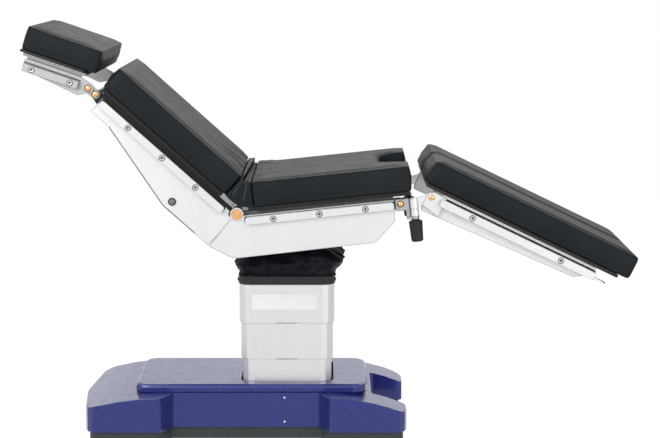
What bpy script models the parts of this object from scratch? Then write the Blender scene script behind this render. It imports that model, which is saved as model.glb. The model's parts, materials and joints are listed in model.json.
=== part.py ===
"""Electro-hydraulic operating table: base on castors, telescoping column, tilting top in five sections.

Metres, +Z up. X runs from the head end (-X) to the foot end (+X); the top is symmetric about Y = 0.
The table stands at rest on its floor locks, with the back raised and the legs lowered.
"""
import math

import bmesh
import bpy
from mathutils import Matrix, Vector

# clearances shared by all pieces
GAP = 0.0003
RUNNING_GAP = 0.0015
CUT_OVERRUN = 0.004
FINE_BEVEL = 0.0012

# angles of the sections at rest, in degrees from level
SEAT_TILT = 6.0
BACK_SLOPE = 42.0
HEAD_SLOPE = 19.0
LEG_SLOPE = 25.8

# centres that the top is built on
BACK_PIVOT_X = -0.3025
BACK_PIVOT_Z = 0.7592
COLUMN_X = -0.150
TILT_AXIS_Z = 0.620

# layers across the table, measured from its middle
PAD_HALF_WIDTH = 0.260
BOARD_HALF_WIDTH = 0.255
RAIL_OUTER = 0.285
RAIL_THICKNESS = 0.010
RAIL_HEIGHT = 0.025
SEAT_PANEL_INNER = 0.260
SEAT_PANEL_THICKNESS = 0.006
BACK_PANEL_INNER = 0.252
BACK_PANEL_THICKNESS = 0.006
SEAT_BEAM_INNER = 0.211
SEAT_BEAM_THICKNESS = 0.020
PANEL_CORNER_ROUND = 0.005

# base
BASE_LEFT = -0.820
BASE_RIGHT = 0.236
BASE_LEFT_CORNER_X = -0.790
BASE_HALF_WIDTH = 0.270
BASE_WAIST_HALF_WIDTH = 0.200
BASE_WAIST_LEFT = -0.515
BASE_WAIST_RIGHT = -0.048
BASE_LEG_FLARE = 0.040
BASE_CORNER_RADIUS = 0.045
BASE_WALL = 0.006
BASE_BOTTOM = 0.052
BASE_SHOULDER_Z = 0.165
BASE_LEFT_END_Z = 0.120
BASE_RIGHT_END_Z = 0.112
BASE_EDGE_ROUND = 0.012
NOTCH_HALF_WIDTH = 0.140
NOTCH_START_X = 0.125
DECK_LEFT = -0.643
DECK_RIGHT = 0.110
DECK_HALF_WIDTH = 0.190
DECK_TOP = 0.190
DECK_DEPTH = 0.030
DECK_CORNER_RADIUS = 0.045
DECK_EDGE_ROUND = 0.010
SKIRT_INSET = 0.010
SKIRT_WALL = 0.005
SKIRT_BOTTOM = 0.012
PANEL_LEFT = -0.163
TABLE_REACH = 2.0
PANEL_RIGHT = -0.070
PANEL_BOTTOM = 0.062
PANEL_TOP = 0.150
PANEL_THICKNESS = 0.003

# chassis and what stands on it
CHASSIS_BOTTOM = 0.082
CHASSIS_THICKNESS = 0.010
CHASSIS_HALF_WIDTH = 0.165
CHASSIS_ARM_MARGIN = 0.045
CHASSIS_NOTCH_MARGIN = 0.003
WELL_WALL = 0.005
WELL_BOTTOM = 0.016
CASTOR_HEAD_X = -0.690
CASTOR_FOOT_X = 0.145
CASTOR_HEAD_Y = 0.190
CASTOR_FOOT_Y = 0.200
CASTOR_TRAIL = 0.011
WHEEL_RADIUS = 0.029
WHEEL_WIDTH = 0.020
WHEEL_LIFT = 0.0025
AXLE_RADIUS = 0.004
FORK_THICKNESS = 0.004
FORK_WIDTH = 0.022
FORK_TOP_THICKNESS = 0.005
SWIVEL_RADIUS = 0.017
SWIVEL_HEIGHT = 0.008
STEM_RADIUS = 0.006
LOCK_HEAD_X = -0.590
LOCK_FOOT_X = 0.055
LOCK_MARGIN = 0.019
LOCK_Y = 0.215
LOCK_PAD_RADIUS = 0.021
LOCK_PAD_HEIGHT = 0.014
LOCK_STEM_RADIUS = 0.010
LOCK_STEM_TOP = 0.110
PUMP_LEFT = -0.560
PUMP_LENGTH = 0.180
PUMP_HALF_WIDTH = 0.100
PUMP_HEIGHT = 0.045
MOTOR_RADIUS = 0.020
MOTOR_LENGTH = 0.060

# column
LOWER_HALF_X = 0.1450
MIDDLE_HALF_X = 0.1495
UPPER_HALF_X = 0.1540
COLUMN_ROUNDNESS = 0.038
SHELL_WALL = 0.004
LOWER_SHELL_BOTTOM = 0.104
LOWER_SHELL_TOP = 0.386
MIDDLE_SHELL_BOTTOM = 0.265
MIDDLE_SHELL_TOP = 0.462
UPPER_SHELL_BOTTOM = 0.385
UPPER_SHELL_TOP = 0.512
UPPER_SHELL_ROOF = 0.006
BAND_TOP = 0.539
BAND_WALL = 0.004
BAND_OVERHANG = 0.003
CYLINDER_RADIUS = 0.055
CYLINDER_WALL = 0.006
CYLINDER_TOP = 0.300
STAGE_WALL = 0.006
STAGE_BOTTOM = 0.110
STAGE_TOP = 0.384
RAM_BOTTOM = 0.230
HEAD_PLATE_HALF = 0.110
HEAD_PLATE_THICKNESS = 0.018
HEAD_EAR_Y = 0.046
HEAD_EAR_THICKNESS = 0.018
HEAD_EAR_RADIUS = 0.026
BOOT_WALL = 0.0025
BOOT_TOP = 0.604
BOOT_FLARE_HEAD = 0.014
BOOT_FLARE_FOOT = 0.036
BOOT_FLARE_SIDE = 0.020
BOOT_FOLD_DEPTH = 0.013
BOOT_PLEATS = 9

# tilt cross and carriage
CROSS_HALF = 0.034
TRUNNION_RADIUS = 0.014
CARRIAGE_HALF_X = 0.115
CARRIAGE_HALF_Y = 0.075
CARRIAGE_PLATE_Z = 0.058
CARRIAGE_PLATE_THICKNESS = 0.012
CARRIAGE_EAR_X = 0.046
CARRIAGE_EAR_THICKNESS = 0.018
CARRIAGE_EAR_RADIUS = 0.024
CARRIAGE_GROOVE_DEPTH = 0.006
CARRIAGE_LIP = 0.006

# seat section, along the seat from the back pivot and up from it
SEAT_PAD_START = 0.054
SEAT_PAD_END = 0.556
SEAT_PAD_BOTTOM = 0.0146
SEAT_PAD_TOP = 0.089
SEAT_BOARD_THICKNESS = 0.012
SEAT_FRAME_END = 0.494
SEAT_BEAM_TOP = 0.0020
SEAT_BEAM_BOTTOM = -0.052
SEAT_CROSS_DEPTH = 0.030
SEAT_CROSS_LENGTH = 0.040
SEAT_SPACER_LENGTH = 0.050
SEAT_SPACER_START = 0.180
SLIDE_BEAM_START = 0.016
SLIDE_BEAM_WIDTH = 0.020
SLIDE_BEAM_TOP = -0.030
SEAT_PANEL_MITRE_U = -0.0995
SEAT_PANEL_MITRE_W = -0.092
SEAT_PANEL_KNEE_U = -0.026
SEAT_PANEL_KNEE_W = -0.1397
SEAT_PANEL_HEEL_U = 0.425
SEAT_PANEL_HEEL_W = -0.1354
SEAT_PANEL_TOE_U = 0.492
SEAT_PANEL_TOE_W = -0.074
SEAT_PANEL_END_U = 0.496
SEAT_PANEL_KNEE_ROUND = 0.045
SEAT_PANEL_HEEL_ROUND = 0.018
SEAT_PANEL_TOE_ROUND = 0.012
SEAT_PANEL_TOP_W = -0.006
SEAT_FLANGE_DEPTH = 0.008
SEAT_FLANGE_STEP = 0.003
SEAT_RAIL_START = 0.025
SEAT_RAIL_END = 0.493
SEAT_RAIL_W = -0.023
SEAT_RAIL_BOLTS = (0.113, 0.258, 0.403)
CUTOUT_HALF_WIDTH = 0.125
CUTOUT_DEPTH = 0.088
CUTOUT_ROUND_SHARE = 0.80
PIVOT_DISC_RADIUS = 0.021
PIVOT_DISC_THICKNESS = 0.004
PIVOT_BRASS_RADIUS = 0.016
PIVOT_BRASS_THICKNESS = 0.003
PIVOT_SHAFT_RADIUS = 0.010
PIVOT_EAR_RADIUS = 0.020

# leg bracket at the seat's foot end
BRACKET_START = 0.498
BRACKET_END = 0.541
BRACKET_TOP = -0.006
BRACKET_BOTTOM = -0.043
BRACKET_INNER = 0.236
BRACKET_OUTER = 0.268
BRACKET_PLATE_THICKNESS = 0.011
FLANGE_TOP = -0.0636
FLANGE_BOTTOM = -0.072
LEG_PIN_U = 0.556
LEG_PIN_Y = 0.262
LEG_PIN_RADIUS = 0.006
KNUCKLE_RADIUS = 0.0135
KNUCKLE_TOP = -0.008
KNUCKLE_GROOVE_W = -0.041
KNUCKLE_GROOVE_DEPTH = 0.002
KNUCKLE_GROOVE_HEIGHT = 0.003
KNUCKLE_ARM_THICKNESS = 0.012
KNUCKLE_ARM_HALF_HEIGHT = 0.013
LEG_PIVOT_U = 0.613
LEG_PIVOT_W = -0.011
LEG_PIVOT_PIN_RADIUS = 0.007
KNOB_TOP_RADIUS = 0.0218
KNOB_END_RADIUS = 0.0190
KNOB_LENGTH = 0.066
KNOB_NECK_RADIUS = 0.012
KNOB_NECK_HEIGHT = 0.006
KNOB_FLUTES = 12
KNOB_FLUTE_RADIUS = 0.0026
KNOB_EDGE = 0.003

# back section, along the back from its pivot and out towards the patient
BACK_PAD_START = 0.066
BACK_PAD_END = 0.577
BACK_PAD_BOTTOM = 0.0196
BACK_PAD_TOP = 0.095
BACK_PANEL_END = 0.553
BACK_PANEL_TOP = -0.008
BACK_PANEL_TIP = -0.062
BACK_PANEL_TIP_START = 0.484
BACK_PANEL_BELLY = -0.1365
BACK_PANEL_BELLY_START = 0.192
BACK_PANEL_BELLY_ROUND = 0.060
BACK_PANEL_TIP_ROUND = 0.012
BACK_BEAM_TOP = 0.0014
BACK_BEAM_BOTTOM = -0.050
BACK_BOARD_BOTTOM = 0.006
BACK_BOARD_THICKNESS = 0.0133
BACK_CROSS_FIRST = 0.080
BACK_CROSS_SPACING = 0.150
BACK_CROSS_COUNT = 4
BACK_CROSS_LENGTH = 0.030
BACK_RAIL_START = 0.041
BACK_RAIL_END = 0.548
BACK_RAIL_N = -0.020
BACK_RAIL_BOLTS = (0.1535, 0.292, 0.432)
PLUG_S = 0.177
PLUG_N = -0.107
PLUG_RADIUS = 0.010
PLUG_PROUD = 0.003

# head section: lower pivot on the back, link, upper pivot, then along the head
HEAD_LOWER_PIVOT_S = 0.577
HEAD_UPPER_PIVOT_S = 0.606
HEAD_PIVOT_N = -0.013
HEAD_LINK_INNER = 0.2520
HEAD_LINK_THICKNESS = 0.006
HEAD_LINK_RADIUS = 0.015
HEAD_PIN_RADIUS = 0.006
HEAD_BRASS_RADIUS = 0.0085
HEAD_BRASS_PROUD = 0.003
HEAD_PLATE_INNER = 0.2585
HEAD_SIDE_THICKNESS = 0.006
HEAD_PLATE_TOP = 0.025
HEAD_PLATE_NOSE = 0.018
HEAD_PLATE_END = 0.212
HEAD_PLATE_TIP_E = 0.024
HEAD_PLATE_TIP_M = -0.032
HEAD_PLATE_FAR_E = 0.200
HEAD_PLATE_FAR_M = -0.010
HEAD_RAIL_START = 0.030
HEAD_RAIL_END = 0.209
HEAD_RAIL_BOLTS = (0.056, 0.180)
HEAD_TRAY_START = 0.018
HEAD_TRAY_END = 0.222
HEAD_TRAY_TOP = 0.040
HEAD_TRAY_THICKNESS = 0.008
HEAD_TRAY_LIP = 0.010
HEAD_BOARD_THICKNESS = 0.008
HEAD_PAD_START = -0.011
HEAD_PAD_END = 0.236
HEAD_PAD_BOTTOM = 0.0486
HEAD_PAD_TOP = 0.120

# legs, along the leg from its pivot and up towards the patient
LEG_PAD_START = -0.048
LEG_PAD_END = 0.682
LEG_PAD_BOTTOM = 0.0346
LEG_PAD_TOP = 0.109
LEG_PAD_INNER = 0.005
LEG_BOARD_TOP = 0.034
LEG_BOARD_THICKNESS = 0.010
LEG_BOARD_START = -0.030
LEG_BOARD_END = 0.643
LEG_PLATE_OUTER = 0.2470
LEG_PLATE_THICKNESS = 0.006
LEG_INNER_PLATE_Y = 0.030
LEG_PLATE_START = -0.014
LEG_PLATE_END = 0.575
LEG_PLATE_TOP = 0.0205
LEG_PLATE_NEAR_BOTTOM = -0.053
LEG_PLATE_FAR_BOTTOM = -0.035
LEG_PLATE_HEEL = 0.518
LEG_PLATE_ROUND = 0.010
LEG_CROSS_RADIUS = 0.009
LEG_CROSS_PLACES = (0.120, 0.300, 0.480)
LEG_CROSS_H = -0.008
LEG_RAIL_START = 0.030
LEG_RAIL_END = 0.575
LEG_RAIL_H = -0.001
LEG_RAIL_BOLTS = (0.142, 0.452)
LEVER_PIVOT_G = 0.552
LEVER_PIVOT_H = -0.012
LEVER_LENGTH = 0.070
LEVER_HALF_WIDTH = 0.016
LEVER_WIRE_RADIUS = 0.003
LEVER_Y = 0.222

# cushion form
CUSHION_EDGE = 0.009
CUSHION_DRAW = 0.0025
CUSHION_CROWN = 0.0030
CUSHION_CORNER = 0.016
CUSHION_SETBACK = 0.018
CUSHION_FOOT_SHARE = 0.60
CUSHION_SHOULDER_SHARE = 0.30
CUSHION_DRAW_SHARES = (0.35, 0.60)
CROWN_RING_SHARES = (0.25, 0.60)
CROWN_HEIGHT_SHARES = (0.70, 0.98)

# plain counts
CORNER_STEPS = 3
ROUND_SIDES = 18
SMALL_SIDES = 10

DISTANCE_TO_MERGE = 0.00002
BORE_CLEARANCE = 0.0004

# finishes: colour, roughness, metallic
FINISHES = {
    "blue_lacquer": ((0.035, 0.045, 0.22), 0.35, 0.3),
    "skirt_grey": ((0.10, 0.11, 0.12), 0.6, 0.0),
    "satin_metal": ((0.72, 0.72, 0.73), 0.38, 0.85),
    "brushed_steel": ((0.62, 0.62, 0.63), 0.3, 1.0),
    "dark_steel": ((0.18, 0.19, 0.20), 0.5, 0.7),
    "black_plastic": ((0.012, 0.012, 0.014), 0.45, 0.0),
    "black_vinyl": ((0.020, 0.022, 0.025), 0.42, 0.0),
    "black_fabric": ((0.012, 0.010, 0.018), 0.85, 0.0),
    "brass": ((0.80, 0.45, 0.20), 0.3, 1.0),
    "tyre_grey": ((0.16, 0.16, 0.17), 0.7, 0.0),
    "cast_metal": ((0.40, 0.41, 0.42), 0.55, 0.6),
}


def clear_scene():
    """Remove what the new file holds, and make the two collections."""
    for thing in list(bpy.data.objects):
        bpy.data.objects.remove(thing, do_unlink=True)
    table = bpy.data.collections.new("operating_table")
    cutters = bpy.data.collections.new("cutters")
    for group in (table, cutters):
        bpy.context.scene.collection.children.link(group)
    return table, cutters


TABLE, CUTTERS = clear_scene()
MATERIALS = {}


def finish(name):
    """The Principled material of a finish, made once."""
    if name not in MATERIALS:
        colour, roughness, metallic = FINISHES[name]
        made = bpy.data.materials.new(name)
        made.use_nodes = True
        shader = made.node_tree.nodes["Principled BSDF"]
        shader.inputs["Base Color"].default_value = (*colour, 1.0)
        shader.inputs["Roughness"].default_value = roughness
        shader.inputs["Metallic"].default_value = metallic
        MATERIALS[name] = made
    return MATERIALS[name]


def anchor(name, place, turn=(0, 0, 0), parent=None):
    """An empty that a section's pieces hang on; its origin is the section's joint."""
    empty = bpy.data.objects.new(name, None)
    TABLE.objects.link(empty)
    empty.parent = parent
    empty.location = place
    empty.rotation_euler = turn
    return empty


def add(name, mesh, look, parent=None, place=(0, 0, 0)):
    """Put a mesh into the table as one named piece."""
    piece = bpy.data.objects.new(name, mesh)
    TABLE.objects.link(piece)
    piece.parent = parent
    piece.location = place
    piece.data.materials.append(finish(look))
    piece.data.shade_smooth()
    piece.data.set_sharp_from_angle(angle=math.radians(35))
    return piece


def settle(piece):
    """Replace a piece's mesh by its evaluated one and drop the modifiers."""
    bpy.context.view_layer.update()
    seen = piece.evaluated_get(bpy.context.evaluated_depsgraph_get())
    mesh = bpy.data.meshes.new_from_object(seen)
    piece.modifiers.clear()
    piece.data = mesh
    return mesh


def tidy(mesh):
    """Weld a mesh, merge its flat neighbours and point its faces out."""
    work = bmesh.new()
    work.from_mesh(mesh)
    bmesh.ops.remove_doubles(work, verts=work.verts, dist=DISTANCE_TO_MERGE)
    bmesh.ops.dissolve_limit(work, angle_limit=math.radians(0.5), verts=work.verts, edges=work.edges)
    bmesh.ops.recalc_face_normals(work, faces=work.faces)
    work.to_mesh(mesh)
    work.free()
    return mesh


def bevel(mesh, width, segments=1, angle=40):
    """Round the sharp edges of a mesh with a Bevel modifier and apply it."""
    if width <= 0:
        return mesh
    holder = bpy.data.objects.new("rounding", mesh)
    CUTTERS.objects.link(holder)
    modifier = holder.modifiers.new("round", "BEVEL")
    modifier.width = width
    modifier.segments = segments
    modifier.limit_method = "ANGLE"
    modifier.angle_limit = math.radians(angle)
    result = settle(holder)
    bpy.data.objects.remove(holder, do_unlink=True)
    return tidy(result)


def combine(mesh, other, how):
    """Boolean two meshes that share a frame: DIFFERENCE, UNION or INTERSECT."""
    base = bpy.data.objects.new("base", mesh)
    tool = bpy.data.objects.new("tool", other)
    for thing in (base, tool):
        CUTTERS.objects.link(thing)
        thing.hide_render = True
        thing.display_type = "WIRE"
    modifier = base.modifiers.new("cut", "BOOLEAN")
    modifier.operation = how
    modifier.solver = "EXACT"
    modifier.object = tool
    result = settle(base)
    for thing in (base, tool):
        bpy.data.objects.remove(thing, do_unlink=True)
    return tidy(result)


def union(first, *others):
    """One closed body out of overlapping meshes."""
    for other in others:
        first = combine(first, other, "UNION")
    return first


def cut(first, *others):
    """A mesh less the cutters."""
    for other in others:
        first = combine(first, other, "DIFFERENCE")
    return first


def moved(mesh, matrix):
    """A mesh carried by a matrix."""
    mesh.transform(matrix)
    return mesh


def shifted(mesh, x=0, y=0, z=0):
    """A mesh moved along its axes."""
    return moved(mesh, Matrix.Translation((x, y, z)))


def block(low, high, edge=0):
    """A box between two corners, its edges rounded by edge."""
    work = bmesh.new()
    bmesh.ops.create_cube(work, size=1)
    size = [b - a for a, b in zip(low, high)]
    middle = [(a + b) / 2 for a, b in zip(low, high)]
    bmesh.ops.scale(work, vec=size, verts=work.verts)
    bmesh.ops.translate(work, vec=middle, verts=work.verts)
    mesh = bpy.data.meshes.new("block")
    work.to_mesh(mesh)
    work.free()
    return bevel(mesh, edge)


def rod(radius, start, end, sides=ROUND_SIDES, edge=0):
    """A round bar between two points."""
    start, end = Vector(start), Vector(end)
    along = end - start
    work = bmesh.new()
    bmesh.ops.create_cone(
        work, cap_ends=True, segments=sides, radius1=radius, radius2=radius, depth=along.length)
    mesh = bpy.data.meshes.new("rod")
    work.to_mesh(mesh)
    work.free()
    mesh = bevel(mesh, edge)
    turn = along.to_track_quat("Z", "Y").to_matrix().to_4x4()
    return moved(mesh, Matrix.Translation((start + end) / 2) @ turn)


def arc(centre, radius, start, end, steps=CORNER_STEPS):
    """Points on an arc, angles in degrees."""
    return [
        (centre[0] + radius * math.cos(math.radians(start + (end - start) * i / steps)),
         centre[1] + radius * math.sin(math.radians(start + (end - start) * i / steps)))
        for i in range(steps + 1)
    ]


def rounded(corners, steps=CORNER_STEPS):
    """An outline from (x, y, radius) corners, each rounded by an arc."""
    points = []
    count = len(corners)
    for i, (x, y, radius) in enumerate(corners):
        here = Vector((x, y))
        if radius <= 0:
            points.append((x, y))
            continue
        before = (Vector(corners[i - 1][:2]) - here).normalized()
        after = (Vector(corners[(i + 1) % count][:2]) - here).normalized()
        half = before.angle(after) / 2
        reach = radius / math.tan(half)
        centre = here + (before + after).normalized() * (radius / math.sin(half))
        first = here + before * reach - centre
        last = here + after * reach - centre
        sweep = first.angle_signed(last)
        for step in range(steps + 1):
            turned = Matrix.Rotation(-sweep * step / steps, 2) @ first
            points.append(tuple(centre + turned))
    return points


def rounded_box_outline(half_x, half_y, radius, centre=(0, 0), steps=CORNER_STEPS):
    """A rectangle's outline with round corners."""
    cx, cy = centre
    corners = [(cx - half_x, cy - half_y, radius), (cx + half_x, cy - half_y, radius),
               (cx + half_x, cy + half_y, radius), (cx - half_x, cy + half_y, radius)]
    return rounded(corners, steps)


def extruded(outline, low, high, edge=0, segments=1):
    """A flat outline in XY as a solid from low to high in Z: a filled 2D curve, extruded."""
    curve = bpy.data.curves.new("outline", "CURVE")
    curve.dimensions = "2D"
    curve.fill_mode = "BOTH"
    curve.extrude = (high - low) / 2
    spline = curve.splines.new("POLY")
    spline.points.add(len(outline) - 1)
    for point, (x, y) in zip(spline.points, outline):
        point.co = (x, y, 0, 1)
    spline.use_cyclic_u = True
    holder = bpy.data.objects.new("outline", curve)
    CUTTERS.objects.link(holder)
    bpy.context.view_layer.update()
    seen = holder.evaluated_get(bpy.context.evaluated_depsgraph_get())
    mesh = bpy.data.meshes.new_from_object(seen)
    bpy.data.objects.remove(holder, do_unlink=True)
    tidy(mesh)
    shifted(mesh, z=(low + high) / 2)
    return bevel(mesh, edge, segments)


def side_plate(outline, inner, outer, side=1, edge=FINE_BEVEL):
    """An outline in the XZ plane as a plate between two distances from the middle, on one side."""
    low, high = sorted((side * inner, side * outer))
    mesh = extruded(outline, -high, -low, edge)
    return moved(mesh, Matrix.Rotation(math.radians(90), 4, "X"))


def turned(profile, sides=ROUND_SIDES):
    """A profile of (radius, z), from top to bottom on the outer side, screwed about Z."""
    mesh = bpy.data.meshes.new("profile")
    work = bmesh.new()
    points = [work.verts.new((radius, 0, z)) for radius, z in profile]
    closed = profile[0][0] > 0 and profile[-1][0] > 0
    for a, b in zip(points, points[1:] + (points[:1] if closed else [])):
        if a is not b:
            work.edges.new((a, b))
    work.to_mesh(mesh)
    work.free()
    holder = bpy.data.objects.new("profile", mesh)
    CUTTERS.objects.link(holder)
    screw = holder.modifiers.new("turn", "SCREW")
    screw.axis = "Z"
    screw.steps = sides
    screw.render_steps = sides
    screw.use_merge_vertices = True
    screw.merge_threshold = DISTANCE_TO_MERGE
    result = settle(holder)
    bpy.data.objects.remove(holder, do_unlink=True)
    return tidy(result)


def loft(rings):
    """A closed solid through rings of points with equal counts, with flat ends."""
    work = bmesh.new()
    rows = [[work.verts.new(point) for point in ring] for ring in rings]
    count = len(rows[0])
    for lower, upper in zip(rows, rows[1:]):
        for i in range(count):
            j = (i + 1) % count
            work.faces.new((lower[i], lower[j], upper[j], upper[i]))
    work.faces.new(list(reversed(rows[0])))
    work.faces.new(rows[-1])
    bmesh.ops.recalc_face_normals(work, faces=work.faces)
    mesh = bpy.data.meshes.new("loft")
    work.to_mesh(mesh)
    work.free()
    return mesh


def base_outline(inset=0.0):
    """The plan of the base: four corner legs, a waist on each side and a notch at the foot end."""
    left, right = BASE_LEFT_CORNER_X + inset, BASE_RIGHT - inset
    half, waist = BASE_HALF_WIDTH - inset, BASE_WAIST_HALF_WIDTH - inset
    leg_left = BASE_WAIST_LEFT - BASE_LEG_FLARE - inset
    leg_right = BASE_WAIST_RIGHT + BASE_LEG_FLARE + inset
    notch_x, notch_y = NOTCH_START_X - inset, NOTCH_HALF_WIDTH + inset
    corner = BASE_CORNER_RADIUS - inset
    small = BASE_EDGE_ROUND
    near = [
        (left, -half, corner), (leg_left, -half, small),
        (BASE_WAIST_LEFT - inset, -waist, small), (BASE_WAIST_RIGHT + inset, -waist, small),
        (leg_right, -half, small), (right, -half, corner),
        (right, -notch_y, small), (notch_x, -notch_y, small)]
    far = [(x, -y, radius) for x, y, radius in reversed(near)]
    nose = [(BASE_LEFT + inset, 0, BASE_HALF_WIDTH)]
    return rounded(near + far + nose)


def base_side(inset=0.0, drop=0.0):
    """The side view of the base body: flat over the waist, curving down over the legs."""
    steps = 4
    left_start = BASE_WAIST_LEFT - BASE_LEG_FLARE
    right_start = BASE_WAIST_RIGHT + BASE_LEG_FLARE
    far_left = BASE_LEFT - CUT_OVERRUN
    far_right = BASE_RIGHT + CUT_OVERRUN
    top = BASE_SHOULDER_Z - inset
    points = []
    for i in range(steps + 1):
        share = 1 - i / steps
        fall = (BASE_SHOULDER_Z - BASE_LEFT_END_Z) * share ** 2
        points.append((left_start + (far_left - left_start) * share, top - fall))
    for i in range(steps + 1):
        share = i / steps
        fall = (BASE_SHOULDER_Z - BASE_RIGHT_END_Z) * share ** 2
        points.append((right_start + (far_right - right_start) * share, top - fall))
    return points + [(far_right, BASE_BOTTOM - drop), (far_left, BASE_BOTTOM - drop)]


def base_body(inset=0.0, drop=0.0):
    """The base body, or its hollow: the plan cut by the side view."""
    plan = extruded(base_outline(inset), BASE_BOTTOM - drop, BASE_SHOULDER_Z + CUT_OVERRUN)
    reach = BASE_HALF_WIDTH + CUT_OVERRUN
    side = side_plate(base_side(inset, drop + CUT_OVERRUN), -reach, reach, 1, 0)
    return combine(plan, side, "INTERSECT")


def make_base():
    """Cover in two halves round the column, skirt and access panel."""
    deck_middle = (DECK_LEFT + DECK_RIGHT) / 2
    deck_half = (DECK_RIGHT - DECK_LEFT) / 2

    def deck(inset, low, high, edge):
        outline = rounded_box_outline(
            deck_half - inset, DECK_HALF_WIDTH - inset, DECK_CORNER_RADIUS - inset, (deck_middle, 0))
        return extruded(outline, low, high, edge, 2)

    opening_half = MIDDLE_HALF_X + RUNNING_GAP
    opening = rounded_box_outline(opening_half, opening_half, COLUMN_ROUNDNESS + RUNNING_GAP, (COLUMN_X, 0))
    shell = bevel(base_body(), BASE_EDGE_ROUND, 2, 70)
    body = union(shell, deck(0, DECK_TOP - DECK_DEPTH - CUT_OVERRUN, DECK_TOP, DECK_EDGE_ROUND))
    recess = block(
        (PANEL_LEFT - GAP, -BASE_WAIST_HALF_WIDTH - CUT_OVERRUN, PANEL_BOTTOM - GAP),
        (PANEL_RIGHT + GAP, -BASE_WAIST_HALF_WIDTH + PANEL_THICKNESS + GAP, PANEL_TOP + GAP))
    body = cut(
        body,
        base_body(BASE_WALL, CUT_OVERRUN),
        deck(BASE_WALL + DECK_EDGE_ROUND, DECK_TOP - DECK_DEPTH - 3 * CUT_OVERRUN, DECK_TOP - BASE_WALL, 0),
        extruded(opening, DECK_TOP - DECK_DEPTH, DECK_TOP + CUT_OVERRUN))
    low = (-TABLE_REACH, -TABLE_REACH, -TABLE_REACH)
    high = (TABLE_REACH, TABLE_REACH, TABLE_REACH)
    head_side = block(low, (PANEL_LEFT, TABLE_REACH, TABLE_REACH))
    foot_side = block((PANEL_LEFT - GAP, -TABLE_REACH, -TABLE_REACH), high)
    add("base_cover_head", cut(body, foot_side), "blue_lacquer")
    add("base_cover_foot", cut(body, head_side, recess), "blue_lacquer")

    panel = block(
        (PANEL_LEFT, -BASE_WAIST_HALF_WIDTH, PANEL_BOTTOM),
        (PANEL_RIGHT, -BASE_WAIST_HALF_WIDTH + PANEL_THICKNESS, PANEL_TOP))
    add("access_panel", panel, "blue_lacquer")

    skirt_top = CHASSIS_BOTTOM - GAP
    ring = extruded(base_outline(SKIRT_INSET), SKIRT_BOTTOM, skirt_top)
    hollow = extruded(
        base_outline(SKIRT_INSET + SKIRT_WALL), SKIRT_BOTTOM - CUT_OVERRUN, skirt_top + CUT_OVERRUN)
    add("base_skirt", cut(ring, hollow), "skirt_grey")


def make_chassis():
    """The welded base plate with the column's well, bored for castor stems and floor locks."""
    reach = BASE_HALF_WIDTH - BASE_WALL - GAP
    head_end = CASTOR_HEAD_X - CHASSIS_ARM_MARGIN
    foot_end = CASTOR_FOOT_X + CHASSIS_ARM_MARGIN
    head_inner = LOCK_HEAD_X + LOCK_MARGIN
    foot_inner = LOCK_FOOT_X - LOCK_MARGIN
    notch_x = NOTCH_START_X - BASE_WALL - CHASSIS_NOTCH_MARGIN
    notch_y = NOTCH_HALF_WIDTH + BASE_WALL + CHASSIS_NOTCH_MARGIN
    near = [(head_end, -reach), (head_inner, -reach), (head_inner, -CHASSIS_HALF_WIDTH),
            (foot_inner, -CHASSIS_HALF_WIDTH), (foot_inner, -reach), (foot_end, -reach),
            (foot_end, -notch_y), (notch_x, -notch_y)]
    outline = near + [(x, -y) for x, y in reversed(near)]
    top = CHASSIS_BOTTOM + CHASSIS_THICKNESS
    plate = extruded(outline, CHASSIS_BOTTOM, top)
    inner = LOWER_HALF_X + 2 * RUNNING_GAP
    outer = inner + WELL_WALL
    well = block((COLUMN_X - outer, -outer, WELL_BOTTOM), (COLUMN_X + outer, outer, top - GAP))
    hollow = block(
        (COLUMN_X - inner, -inner, WELL_BOTTOM + WELL_WALL), (COLUMN_X + inner, inner, top + CUT_OVERRUN))
    body = cut(union(plate, well), hollow)
    low, high = CHASSIS_BOTTOM - CUT_OVERRUN, top + CUT_OVERRUN
    holes = []
    for side in (-1, 1):
        for x, out in ((CASTOR_HEAD_X, CASTOR_HEAD_Y), (CASTOR_FOOT_X, CASTOR_FOOT_Y)):
            y = side * out
            holes.append(rod(STEM_RADIUS + BORE_CLEARANCE, (x, y, low), (x, y, high), SMALL_SIDES))
        for x in (LOCK_HEAD_X, LOCK_FOOT_X):
            y = side * LOCK_Y
            holes.append(rod(LOCK_STEM_RADIUS + BORE_CLEARANCE, (x, y, low), (x, y, high)))
    add("chassis_frame", cut(body, *holes), "dark_steel")

    floor = top + GAP
    tank = block(
        (PUMP_LEFT, -PUMP_HALF_WIDTH, floor), (PUMP_LEFT + PUMP_LENGTH, PUMP_HALF_WIDTH, floor + PUMP_HEIGHT),
        FINE_BEVEL)
    motor_x = PUMP_LEFT + PUMP_LENGTH / 2
    motor_z = floor + PUMP_HEIGHT + MOTOR_RADIUS / 2
    motor = rod(
        MOTOR_RADIUS, (motor_x, -MOTOR_LENGTH / 2, motor_z), (motor_x, MOTOR_LENGTH / 2, motor_z),
        ROUND_SIDES, FINE_BEVEL)
    add("power_pack", union(tank, motor), "cast_metal")


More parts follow.
